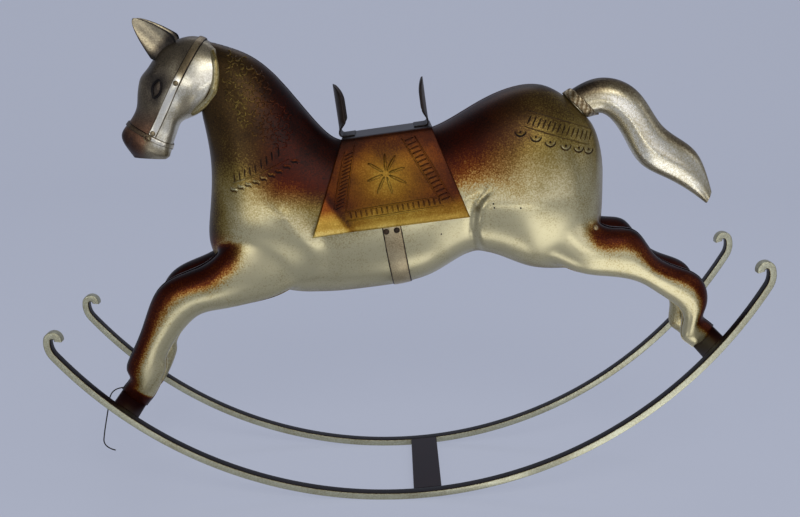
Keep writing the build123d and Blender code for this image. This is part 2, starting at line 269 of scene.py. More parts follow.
@dataclass
class Skin:
    """A half-oval surface with its normals, which other pieces are laid on.

    Attributes:
        grid: points, along x around x 3, of the left side.
    """

    grid: Array

    def __post_init__(self) -> None:
        """Works out the normals once."""
        self.normal = grid_normals(self.grid)

    def at(self, places: Array, beyond: float = 0.6) -> tuple[Array, Array]:
        """The points and normals of the surface nearest to places in the side view.

        Args:
            places: M x 2, x and z.
            beyond: how far a place outside the outline may stay from the surface.

        Returns:
            Two M x 3 arrays. The depth follows the tangent plane at the nearest grid point.
        """
        cloud = self.grid.reshape(-1, 3)
        normals = self.normal.reshape(-1, 3)
        places = np.asarray(places, float)
        near = np.concatenate([
            ((part[:, None, 0] - cloud[None, :, 0]) ** 2
             + (part[:, None, 1] - cloud[None, :, 2]) ** 2).argmin(1)
            for part in np.array_split(places, max(1, len(places) // 60))])
        base, normal = cloud[near], normals[near]
        move = places - base[:, (0, 2)]
        move *= np.minimum(1.0, beyond / np.maximum(np.linalg.norm(move, axis=1, keepdims=True), TINY))
        shift = (move * normal[:, (0, 2)]).sum(1)
        depth = base[:, 1] - np.clip(shift / np.minimum(normal[:, 1], -0.25), -1.5, 1.5)
        point = np.stack([base[:, 0] + move[:, 0], np.minimum(depth, -0.02), base[:, 2] + move[:, 1]], -1)
        return point, normal

    def studs(self, places: Rows | Array, radius: float, height: float, lift: float = 0.0, rings: int = 7,
              sides: int = 24) -> list[Array]:
        """Domed heads at places in the side view, lifted off the surface along its normal."""
        return [dome(point + normal * lift, normal, radius, height, rings, sides)
                for point, normal in zip(*self.at(np.array(places)))]

    def band(self, line: tuple[tuple[float, float], tuple[float, float]], profile: Array,
             step: float = 0.5) -> Array:
        """A strap laid on the surface along a straight line of the side view.

        The profile's offsets are set off square to the line, dropped on the surface, and lifted along
        its normal; both are evened out over eleven neighbouring rows.

        Args:
            line: its two ends in the side view.
            profile: J x 2 closed loop, offset across the strap and height over the surface.
            step: distance of the rows along the line.

        Returns:
            K x J x 3 points.
        """
        start, end = np.asarray(line[0], float), np.asarray(line[1], float)
        length = np.linalg.norm(end - start)
        along = (end - start) / length
        across = np.array([-along[1], along[0]])
        count = int(length / step) + 2
        middle = start + np.linspace(0.0, length, count)[:, None] * along
        flat = middle[:, None] + across * profile[None, :, :1]
        point, normal = (evened(part.reshape(count, -1, 3), 5) for part in self.at(flat.reshape(-1, 2), 0.1))
        return point + unit(normal) * profile[None, :, 1:]


# ---------------------------------------------------------------- finishes


def linear(code: str) -> tuple[float, float, float, float]:
    """An sRGB hex colour as linear RGBA."""
    part = np.array([int(code[i:i + 2], 16) for i in (1, 3, 5)]) / 255.0
    part = np.where(part <= 0.04045, part / 12.92, ((part + 0.055) / 1.055) ** 2.4)
    return (float(part[0]), float(part[1]), float(part[2]), 1.0)


def add_node(tree: bpy.types.NodeTree, kind: str, settings: dict | None = None,
             links: dict | None = None) -> bpy.types.Node:
    """Adds a node.

    Args:
        tree: the material's node tree.
        kind: the node's type.
        settings: properties by name, input values by name or index, or a ramp's "stops".
        links: output sockets by the input that they feed.

    Returns:
        The new node.
    """
    node = tree.nodes.new(kind)
    for key, value in (settings or {}).items():
        if key == "stops":
            marks = node.color_ramp.elements
            while len(marks) < len(value):
                marks.new(0.5)
            for mark, (place, code) in zip(marks, value):
                mark.position, mark.color = place, linear(code)
        elif isinstance(key, str) and hasattr(node, key):
            setattr(node, key, value)
        else:
            node.inputs[key].default_value = value
    for key, socket in (links or {}).items():
        tree.links.new(socket, node.inputs[key])
    return node


Stops = tuple[tuple[float, str], ...]
NOISE_GAIN = 2.2  # noise keeps to the middle of 0 to 1, so it is stretched


@dataclass(frozen=True)
class SprayedMetal:
    """Sheet metal with a bronze spray over it, from bare bright metal to dark lacquer.

    The piece's "patina" attribute says how thick the spray lies and its "rust" attribute how red
    it is. Fine droplets break up the edge of the spray, and clouds vary it.

    Attributes:
        name: the real material.
        bare: colours by patina where the spray is bronze.
        red: colours by patina where it is red lacquer.
        droplet: size of the spray's droplets, mm.
        scatter: how far droplets shift the patina.
        cloud: how far the clouds shift it.
        metallic: at no patina and at full patina.
        roughness: at no patina and at full patina.
        dent: depth of the shallow hammer marks, mm.
        coat: weight of the clear varnish on bare metal; there is none under the spray.
        coat_end: patina at which the varnish is gone.
        coat_roughness: the varnish's own.
        specular: the lacquer's gloss.
        grain: depth of the droplets, mm.
        cloud_size, dent_size: size of the clouds and of the hammer marks, mm.
    """

    name: str
    bare: Stops
    red: Stops
    droplet: float = 0.9
    scatter: float = 0.34
    cloud: float = 0.16
    metallic: tuple[float, float] = (0.85, 0.55)
    roughness: tuple[float, float] = (0.34, 0.42)
    dent: float = 0.10
    coat: float = 0.0
    coat_end: float = 0.45
    coat_roughness: float = 0.25
    specular: float = 0.2
    grain: float = 0.05
    cloud_size: float = 17.0
    dent_size: float = 11.0

    def material(self) -> bpy.types.Material:
        """The material, made at the first call."""
        found = bpy.data.materials.get(self.name)
        if found:
            return found
        material = bpy.data.materials.new(self.name)
        material.use_nodes = True
        tree = material.node_tree
        shader = tree.nodes["Principled BSDF"]
        place = add_node(tree, "ShaderNodeTexCoord").outputs["Object"]

        def attribute(key: str) -> bpy.types.NodeSocket:
            """A value that the piece has at each point."""
            return add_node(tree, "ShaderNodeAttribute", {"attribute_name": key}).outputs["Fac"]

        def noise(size: float, **settings: float) -> bpy.types.NodeSocket:
            """Noise of a real size, in mm."""
            return add_node(tree, "ShaderNodeTexNoise", {"Scale": 1 / (size * MM), **settings},
                            {"Vector": place}).outputs["Fac"]

        def shift(amount: float, source: bpy.types.NodeSocket) -> bpy.types.NodeSocket:
            """Noise as a shift of the patina, up and down."""
            return add_node(tree, "ShaderNodeMath",
                            {"operation": "MULTIPLY_ADD", 1: amount * NOISE_GAIN, 2: -amount * NOISE_GAIN / 2},
                            {0: source}).outputs[0]

        def by_spray(ends: tuple[float, float], full: float = 1.0) -> bpy.types.NodeSocket:
            """A value that goes from its first end at no spray to its second at full spray."""
            return add_node(tree, "ShaderNodeMapRange", {2: full, 3: ends[0], 4: ends[1]},
                            {0: spray}).outputs[0]

        droplets = noise(self.droplet, Detail=2.0, Roughness=0.6)
        clouds = noise(self.cloud_size, Detail=3.0)
        both = add_node(tree, "ShaderNodeMath", {"operation": "ADD"},
                        {0: shift(self.scatter, droplets), 1: shift(self.cloud, clouds)}).outputs[0]
        spray = add_node(tree, "ShaderNodeMath", {"operation": "ADD", "use_clamp": True},
                         {0: attribute("patina"), 1: both}).outputs[0]
        bronze, lacquer = (add_node(tree, "ShaderNodeValToRGB", {"stops": stops}, {"Fac": spray}).outputs[0]
                           for stops in (self.bare, self.red))
        colour = add_node(tree, "ShaderNodeMix", {"data_type": "RGBA"},
                          {0: attribute("rust"), 6: bronze, 7: lacquer}).outputs[2]
        fine = add_node(tree, "ShaderNodeBump", {"Strength": 0.35, "Distance": self.grain * MM},
                        {"Height": droplets}).outputs[0]
        bump = add_node(tree, "ShaderNodeBump", {"Strength": 0.6, "Distance": self.dent * MM},
                        {"Height": noise(self.dent_size, Detail=1.0), "Normal": fine}).outputs[0]
        shader.inputs["Specular IOR Level"].default_value = self.specular
        shader.inputs["Coat Roughness"].default_value = self.coat_roughness
        for key, socket in {"Base Color": colour, "Metallic": by_spray(self.metallic),
                            "Roughness": by_spray(self.roughness),
                            "Coat Weight": by_spray((self.coat, 0.0), self.coat_end), "Normal": bump}.items():
            tree.links.new(socket, shader.inputs[key])
        return material


# Tinned sheet, sprayed with bronze lacquer: a bright champagne ground under a dusty dark bronze.
BODY_TIN = SprayedMetal(
    "bronze_sprayed_tinplate",
    bare=((0.0, "#b3aa85"), (0.2, "#968a60"), (0.42, "#75632f"), (0.66, "#433014"), (1.0, "#150e06")),
    red=((0.0, "#b3aa85"), (0.16, "#9b8e62"), (0.28, "#8f6a2c"), (0.42, "#62300a"), (0.62, "#3e1102"),
         (1.0, "#0e0201")),
    roughness=(0.3, 0.42), coat=0.4)
# Pressed face of the same tinplate, bare and bright on the cheek, blackened on the brow.
HEAD_TIN = SprayedMetal(
    "blackened_tinplate",
    bare=((0.0, "#dedaca"), (0.25, "#a69c82"), (0.5, "#6b6150"), (0.75, "#3a342d"), (1.0, "#141211")),
    red=((0.0, "#dedaca"), (0.25, "#a58f68"), (0.5, "#6a4c38"), (0.75, "#3d2a22"), (1.0, "#181012")),
    scatter=0.2, roughness=(0.31, 0.42), dent=0.22)
# Thin tinplate with a grey dust of spray at its edges.
TAIL_TIN = SprayedMetal(
    "grey_dusted_tinplate",
    bare=((0.0, "#dedbcd"), (0.25, "#b0aa94"), (0.5, "#76705a"), (0.75, "#3f3b31"), (1.0, "#191713")),
    red=((0.0, "#dedbcd"), (0.3, "#b6a274"), (0.6, "#6e4a22"), (1.0, "#241509")),
    droplet=1.1, scatter=0.28, roughness=(0.26, 0.4))
# Copper-plated sheet gone brown, rubbed to olive gold in the middle and at its hems.
SADDLE_COPPER = SprayedMetal(
    "browned_copper_sheet",
    bare=((0.0, "#c3b06a"), (0.25, "#9a8238"), (0.5, "#735516"), (0.75, "#40290b"), (1.0, "#150c05")),
    red=((0.0, "#bd9f5c"), (0.25, "#8a5c1f"), (0.5, "#5f2a08"), (0.75, "#3a1404"), (1.0, "#120401")),
    scatter=0.2, cloud=0.22, metallic=(0.9, 0.65), roughness=(0.3, 0.42))
# Nickel-washed strip: almost white where it was rubbed.
STRAP_TIN = SprayedMetal(
    "nickel_washed_strip",
    bare=((0.0, "#e4e0d2"), (0.3, "#b5ab8e"), (0.55, "#746a52"), (0.8, "#37322a"), (1.0, "#161412")),
    red=((0.0, "#e4e0d2"), (0.3, "#b69e6c"), (0.6, "#6b4521"), (1.0, "#1d1008")),
    scatter=0.14, roughness=(0.28, 0.45))
# Browned iron sheet, near black.
PLATE_IRON = SprayedMetal(
    "browned_iron_sheet",
    bare=((0.0, "#8a8078"), (0.4, "#574e47"), (0.7, "#352e29"), (1.0, "#18120f")),
    red=((0.0, "#8a8078"), (0.4, "#57443a"), (0.7, "#352419"), (1.0, "#180d08")),
    scatter=0.2, metallic=(0.95, 0.15), roughness=(0.36, 0.5))
# Mild steel strip, brushed with grey-green size on its sides and black lacquer on its upper face.
ROCKER_STEEL = SprayedMetal(
    "lacquered_steel_strip",
    bare=((0.0, "#b4b49c"), (0.3, "#918f76"), (0.55, "#4a4633"), (0.8, "#1c1410"), (1.0, "#0b0505")),
    red=((0.0, "#b4b49c"), (0.3, "#887b58"), (0.6, "#2c1209"), (1.0, "#0c0403")),
    droplet=1.2, scatter=0.22, metallic=(0.6, 0.3), roughness=(0.36, 0.38), dent=0.05)
# The same strip under two coats of black-red lacquer.
BAR_STEEL = SprayedMetal(
    "black_red_lacquered_steel",
    bare=((0.0, "#4a1c12"), (0.5, "#24090a"), (1.0, "#0f0405")),
    red=((0.0, "#4a1c12"), (0.5, "#24090a"), (1.0, "#0f0405")),
    metallic=(0.1, 0.05), roughness=(0.4, 0.38), dent=0.05)
# Soft solder, wiped and left wrinkled.
SOLDER = SprayedMetal(
    "wiped_soft_solder",
    bare=((0.0, "#d2cdbd"), (0.3, "#a59b80"), (0.6, "#685a40"), (1.0, "#2a2117")),
    red=((0.0, "#d2cdbd"), (0.3, "#a58a5c"), (0.6, "#6b451f"), (1.0, "#27140a")),
    roughness=(0.30, 0.42), dent=0.3)
# Blackened steel wire.
WIRE_STEEL = SprayedMetal(
    "blackened_steel_wire",
    bare=((0.0, "#24211f"), (0.5, "#161412"), (1.0, "#0c0b0a")),
    red=((0.0, "#24211f"), (0.5, "#1b130f"), (1.0, "#0e0907")), metallic=(0.5, 0.4))


# ---------------------------------------------------------------- pieces


def put_mesh(name: str, points: Array, faces: Faces, finish: SprayedMetal,
             patina: Array | float, rust: Array | float, sharp: float = SMOOTH,
             wall: tuple[float, float] | None = None) -> bpy.types.Object:
    """Puts a surface into the scene.

    Args:
        name: the piece's name.
        points: N x 3, in millimetres.
        faces: vertex indices of each face.
        finish: its finish.
        patina, rust: one number, or one for each point.
        sharp: edges that turn more than this many degrees are left sharp.
        wall: for an open surface, the sheet's thickness and to which side of the surface it lies, -1 to 1.

    Returns:
        The object, at the origin, its faces turned outwards.
    """
    mesh = bpy.data.meshes.new(name)
    mesh.from_pydata((np.asarray(points, float) * MM).tolist(), [], faces)
    for key, value in (("patina", patina), ("rust", rust)):
        layer = mesh.attributes.new(key, "FLOAT", "POINT")
        layer.data.foreach_set("value", np.broadcast_to(np.asarray(value, np.float32), len(points)).copy())
    work = bmesh.new()
    work.from_mesh(mesh)
    bmesh.ops.remove_doubles(work, verts=work.verts, dist=WELD * MM)
    bmesh.ops.recalc_face_normals(work, faces=work.faces)
    work.to_mesh(mesh)
    work.free()
    mesh.polygons.foreach_set("use_smooth", np.ones(len(mesh.polygons), bool))
    if sharp < SMOOTH:
        mesh.set_sharp_from_angle(angle=math.radians(sharp))
    mesh.materials.append(finish.material())
    thing = bpy.data.objects.new(name, mesh)
    bpy.context.scene.collection.objects.link(thing)
    if wall:
        sheet = thing.modifiers.new("sheet", "SOLIDIFY")
        sheet.thickness, sheet.offset = wall[0] * MM, wall[1]
    return thing


def settle(thing: bpy.types.Object, slot: str, *nodes: str) -> None:
    """The piece rides on the one body and hides the CAD nodes that it stands for; logs it."""
    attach(thing, BODY)
    if nodes:
        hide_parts(*nodes)
    LOG.info("%s: %d faces", thing.name, len(getattr(thing.data, "polygons", [])))


def put_sides(name: str, surface: tuple[Array, Faces], finish: SprayedMetal, patina: Array | float,
              rust: Array | float, slot: str, *nodes: str, sides: tuple[Side, ...] = tuple(Side),
              **more: object) -> None:
    """Puts a left piece and its mirror image into the scene, each in its own name.

    Args:
        name, nodes: the piece and the CAD nodes that it stands for, with {} for the side's name.
        surface: the left piece's points and faces.
        finish, patina, rust: its looks.
        slot: not used.
        sides: the sides that get one.
        more: put_mesh's sharp and wall.
    """
    points, faces = surface
    for side in sides:
        piece = put_mesh(name.format(side.word), on_side(points, side), faces, finish, patina, rust, **more)
        settle(piece, slot, *[node.format(side.word) for node in nodes])


def put_both(name: str, grids: list[Array], finish: SprayedMetal, patina: Array | float,
             rust: Array | float, slot: str, *nodes: str, **more: object) -> None:
    """Puts one piece into the scene that holds closed tubes of the left side and their mirror images."""
    points, faces = joined([on_side(grid, side) for side in Side for grid in grids])
    settle(put_mesh(name, points, faces, finish, patina, rust, **more), slot, *nodes)


def fused(points: Array, faces: Faces, voxel: float, rounds: int) -> tuple[Array, Array, Array]:
    """One skin over closed shapes that run into each other, by a voxel remesh and smoothing.

    Args:
        points, faces: the closed shapes, in millimetres.
        voxel: the remesh's voxel.
        rounds: smoothing rounds.

    Returns:
        Points, normals and quads of the skin.
    """
    mesh = bpy.data.meshes.new("raw")
    mesh.from_pydata((points * MM).tolist(), [], faces)
    raw = bpy.data.objects.new("raw", mesh)
    bpy.context.scene.collection.objects.link(raw)
    skin = raw.modifiers.new("skin", "REMESH")
    skin.mode, skin.voxel_size = "VOXEL", voxel * MM
    soften = raw.modifiers.new("soften", "SMOOTH")
    soften.factor, soften.iterations = 0.5, rounds
    seen = raw.evaluated_get(bpy.context.evaluated_depsgraph_get())
    baked = bpy.data.meshes.new_from_object(seen)
    count = len(baked.vertices)
    place, normal = np.empty(count * 3), np.empty(count * 3)
    baked.vertices.foreach_get("co", place)
    baked.vertices.foreach_get("normal", normal)
    corner = np.empty(len(baked.loops), int)
    baked.loops.foreach_get("vertex_index", corner)
    bpy.data.objects.remove(raw)
    bpy.data.meshes.remove(mesh)
    bpy.data.meshes.remove(baked)
    return place.reshape(-1, 3) / MM, normal.reshape(-1, 3), corner.reshape(-1, 4)


def eased(place: Array, quads: Array, weight: Array, rounds: int) -> Array:
    """Smooths a closed quad skin: in each round a point goes to its neighbours' mean by its weight."""
    pairs = np.concatenate([quads[:, (i, (i + 1) % 4)] for i in range(4)])
    count = np.bincount(pairs[:, 0], minlength=len(place))[:, None]
    for _ in range(rounds):
        total = np.stack([np.bincount(pairs[:, 0], place[pairs[:, 1], k], len(place)) for k in range(3)], -1)
        place = place + weight[:, None] * (total / count - place)
    return place


STRAP_EDGE = 0.9
# Patina added across a strap's section: its edges are dark, partly grime and partly painted shade.
STRAP_EDGE_GRIME_AND_PAINTED_SHADE = np.array([0.95, 0.95, 0.7, 0.02, 0.0, 0.02, 0.7, 0.95, 0.95, 0.95])


def strap_profile(width: float, height: float) -> Array:
    """A flat strip's section as a closed loop: offset across it and height, with eased upper edges."""
    half = width / 2
    edge = min(STRAP_EDGE, 0.3 * half)
    return np.array([(-half, -0.5), (-half, 0.5 * height), (-half + 0.45 * edge, 0.9 * height),
                     (-half + edge, 0.98 * height), (0.0, height), (half - edge, 0.98 * height),
                     (half - 0.45 * edge, 0.9 * height), (half, 0.5 * height), (half, -0.5), (0.0, -0.6)])


def strap_patina(fade: Array) -> Array:
    """A strap's patina on both sides: the fade along it, with a dark line at its edges that is partly grime and
    partly painted shade.
    """
    one = np.clip(fade[:, None] + STRAP_EDGE_GRIME_AND_PAINTED_SHADE[None], 0.0, 1.0)
    return np.tile(one.ravel(), 2)


@dataclass
class RockerFrame:
    """The two scrolled rocker bars and the three flat bars between them."""

    radius: float = 270.8
    thickness: float = 4.5
    width: float = 6.5
    spacing: float = 85.0
    front_arc: float = 49.2
    rear_arc: float = 60.9
    entry_radius: float = 14.0
    entry_turn: float = 49.0
    scroll_radius: float = 3.4
    scroll_turn: float = 178.0
    bar_width: float = 18.0
    bar_thickness: float = 2.4
    bar_angles: tuple[float, float, float] = (-37.4, 6.0, 50.2)
    rocker_corner: float = 0.75
    bar_corner: float = 0.6
    bar_rows: int = 24
    arc_steps: tuple[int, int, int] = (90, 16, 40)

    def bar_top(self, angle: float) -> tuple[Array, Array, Array]:
        """A bar's top: its middle, its direction along the arc and its normal, in x and z."""
        turn = math.radians(angle)
        inner = self.radius - self.thickness
        return (np.array([inner * math.sin(turn), self.radius - inner * math.cos(turn)]),
                np.array([math.cos(turn), math.sin(turn)]), np.array([-math.sin(turn), math.cos(turn)]))

    def half_path(self, arc: float) -> tuple[Array, Array]:
        """One end of a rocker's middle line, from the floor contact to the scroll's tip.

        Each arc of radius r goes from heading h0 to h1, and adds r(sin h - sin h0) to x and
        r(cos h0 - cos h) to z.
        """
        point, heading = np.array([0.0, self.thickness / 2]), 0.0
        places, headings = [], []
        radii = (self.radius - self.thickness / 2, self.entry_radius, self.scroll_radius)
        for radius, turn, steps in zip(radii, (arc, self.entry_turn, self.scroll_turn), self.arc_steps):
            h = heading + np.radians(np.linspace(0.0, turn, steps))
            run = radius * np.stack([np.sin(h) - math.sin(heading), math.cos(heading) - np.cos(h)], -1)
            places.append(point + run[1:])
            headings.append(h[1:])
            point, heading = point + run[-1], float(h[-1])
        return np.concatenate(places), np.concatenate(headings)

    def rocker_bars(self) -> None:
        """A rounded bar carried along both arcs and scrolls, on each side; its upper face is dark."""
        rear, rear_heading = self.half_path(self.rear_arc)
        front, front_heading = self.half_path(self.front_arc)
        flat = np.concatenate([front[::-1] * [-1, 1], [[0.0, self.thickness / 2]], rear])
        heading = np.concatenate([-front_heading[::-1], [0.0], rear_heading])
        path = np.stack([flat[:, 0], np.full(len(flat), -self.spacing / 2), flat[:, 1]], -1)
        up = np.stack([-np.sin(heading), np.zeros(len(flat)), np.cos(heading)], -1)
        across = np.broadcast_to(np.array([0.0, 1.0, 0.0]), up.shape)
        profile = rounded_bar(self.width, self.thickness, self.rocker_corner)
        grid = swept(path, up, across, profile)
        dark = smoothstep(0.7, 0.97, profile[:, 1] / (self.thickness / 2))
        patina = np.broadcast_to(0.08 + 0.9 * dark, grid.shape[:2]).ravel()
        put_sides("{}_rocker_bar", joined([grid]), ROCKER_STEEL, patina, 0.55, "rocker_bar", "{}_rocker",
                  sharp=BAR_CREASE)

    def cross_bar(self, word: str, angle: float) -> None:
        """A flat bar with eased edges, carried across from rocker to rocker."""
        middle, along, normal = self.bar_top(angle)
        half = (self.spacing - self.width) / 2
        centre = middle - normal * self.bar_thickness / 2
        path = np.full((self.bar_rows, 3), (centre[0], 0.0, centre[1]))
        path[:, 1] = np.linspace(-half, half, self.bar_rows)
        up = np.broadcast_to(np.array([normal[0], 0.0, normal[1]]), path.shape)
        across = np.broadcast_to(np.array([along[0], 0.0, along[1]]), path.shape)
        grid = swept(path, up, across, rounded_bar(self.bar_width, self.bar_thickness, self.bar_corner))
        piece = put_mesh(f"{word}_flat_bar", *joined([grid]), BAR_STEEL, 0.75, 1.0, BAR_CREASE)
        settle(piece, "cross_bar", f"{word}_cross_bar")

    def build(self) -> None:
        """Both rockers and the three bars."""
        self.rocker_bars()
        for word, angle in zip(("front", "middle", "rear"), self.bar_angles):
            self.cross_bar(word, angle)


TRUNK: Rows = (
    (-108, 285, -113, 239, 14.5), (-84, 277, -109, 212, 20.5), (-58, 254, -111, 176, 26.5),
    (-36, 229, -105, 146, 30.5), (-20, 224, -62, 128, 31), (6, 227, -10, 129, 31),
    (34, 234, 32, 139, 30.5), (60, 249, 62, 153.5, 31), (84, 258.5, 92, 144, 33.5),
    (108, 255, 118, 142, 31), (126, 240, 132, 148, 23), (135.5, 223, 138, 168, 9),
    (138.5, 212, 139.5, 180, 1.4))
FRONT_LEG: Rows = (
    (-62, 174, -50, 138, 9), (-82, 170, -66, 128, 12), (-99, 161, -82, 123, 13),
    (-112, 149.5, -101, 119, 12.5), (-128, 142, -116, 115.5, 11.5), (-142, 133, -126, 107.5, 10.5),
    (-151, 116, -134, 97, 9.5), (-160, 94, -140, 85, 9), (-166.5, 79, -140.5, 78.5, 8.5))
HIND_LEG: Rows = (
    (94, 196, 84, 164, 9), (118, 190, 106, 150, 12), (139, 173, 127, 141.5, 13),
    (158, 169.5, 147, 139.5, 12), (170, 155.5, 162, 136, 11), (184, 147, 174, 129, 10),
    (203, 136.5, 188, 119, 9.5), (206, 122, 191.5, 110, 8.5))
# By leg: its stations, the bar that it stands on, and -1 where a station's top is towards the head.
LEGS = {"front": (FRONT_LEG, 0, -1.0), "hind": (HIND_LEG, 2, 1.0)}
JOINTS = (((-80.0, 148.0), (17.0, 15.0)), ((113.0, 168.0), (15.0, 14.0)))
HEAD: Rows = (
    (-104, 282, -104, 252, 9), (-111, 286.5, -110, 245, 15.5), (-124, 287, -120, 238.5, 17.5),
    (-137, 280, -127, 235, 17), (-146, 268, -130, 229, 14.5), (-152.5, 255, -131.5, 225, 12.5),
    (-154, 245, -133, 221, 11.5), (-160.5, 234, -134.2, 217, 10.5), (-164.5, 226.5, -135, 214.6, 9.5),
    (-160.5, 217.5, -135.8, 213.2, 6.5), (-157.5, 213, -137.5, 212, 3.2))
TAIL: Rows = (
    (112, 252.5, 126, 239, 7.5), (131, 262.5, 137, 241, 9.5), (155, 257.5, 150, 228, 11),
    (174, 234.5, 165, 207.5, 10.5), (186, 225.5, 180, 200, 9.5), (198, 216, 193, 193, 7.5),
    (208.8, 192, 206, 184, 3))


@dataclass(frozen=True)
class Swell:
    """A muscle drawn out of the sheet on one side of a crease.

    Past the crease the sheet climbs to its height by a smoothstep and sinks back by a Gaussian. A
    Gaussian groove lies before the climb, and above the crease's upper end all of it fades away.

    Attributes:
        crease: its line in the side view, each a height and the x there.
        way: 1 where the muscle lies towards the tail, -1 towards the head.
        height: how far it stands out, mm.
        climb: where the climb starts and ends, mm past the crease.
        sink: length of the Gaussian, mm.
        fade: heights over which it goes, from none to all.
        groove: depth of the groove, mm.
        groove_at, groove_width: the groove's middle past the crease, and its width, mm.
    """

    crease: Rows
    way: float
    height: float
    climb: tuple[float, float]
    sink: float
    fade: tuple[float, float]
    groove: float = 0.0
    groove_at: float = -1.6
    groove_width: float = 2.4

    def at(self, x: Array, z: Array) -> Array:
        """How far the sheet stands out at places of the side view, mm."""
        rows = np.array(sorted(self.crease))
        past = self.way * (x - np.interp(z, rows[:, 0], rows[:, 1]))
        rise = self.height * smoothstep(*self.climb, past) * np.exp(-(np.maximum(past, 0) / self.sink) ** 2)
        rise -= self.groove * np.exp(-((past - self.groove_at) / self.groove_width) ** 2)
        return rise * smoothstep(*self.fade, z)


SHOULDER = Swell(((178, -51), (171, -44), (164, -38), (157, -35), (148, -35), (141, -37), (128, -43)),
                 way=-1.0, height=2.5, climb=(-4.0, 12.0), sink=44.0, fade=(192.0, 166.0))
HAUNCH = Swell(((150, 62), (158, 59), (163, 57), (171, 55), (179, 55), (187, 56), (192, 59), (197, 63)),
               way=1.0, height=3.9, climb=(-1.0, 4.6), sink=48.0, fade=(205.0, 186.0), groove=0.6)
FOLDS = ((1.0, (52.0, 194.0), (11.0, 3.6), 30.0), (1.1, (-62.0, 181.5), (9.0, 3.0), -29.0))


@dataclass(frozen=True)
class LegSpray:
    """The spray on a leg: it lies on the side that it came from, and that side turns along the leg.

    Attributes:
        bar: the bar that the leg stands on.
        along, below: the leg's share of the body, by x and by height, each from none to all.
        span: heights between which the spray's direction turns.
        low, high: that direction in x and z, at the span's two ends.
        thin, full: a thin coat and the full one over it, each a patina and, from none to all of it,
            how far the sheet looks to where the spray came from.
        hoof: patina of the hoof.
    """

    bar: int
    along: tuple[float, float]
    below: tuple[float, float]
    span: tuple[float, float]
    low: tuple[float, float]
    high: tuple[float, float]
    thin: tuple[float, float, float]
    full: tuple[float, float, float]
    hoof: float = 0.0

    def coat(self, normal: Array, z: Array) -> Array:
        """The patina on sheet with these normals at these heights."""
        low, high = np.array(self.low), np.array(self.high)
        share = np.clip((z - self.span[0]) / (self.span[1] - self.span[0]), 0.0, 1.0)[:, None]
        facing = (normal[:, (0, 2)] * (low + share * (high - low))).sum(1)
        return sum(patina * smoothstep(*ends, facing) for patina, *ends in (self.thin, self.full))


LEG_SPRAYS = (
    LegSpray(0, (-80.0, -98.0), (172.0, 160.0), (85.0, 155.0), (-0.92, 0.38), (-0.5, 0.88),
             (0.66, -0.2, 0.46), (0.34, 0.6, 0.95), hoof=0.8),
    LegSpray(2, (117.0, 132.0), (182.0, 170.0), (110.0, 160.0), (0.9, 0.4), (0.45, 0.85),
             (0.64, -0.1, 0.45), (0.34, 0.65, 0.95)))


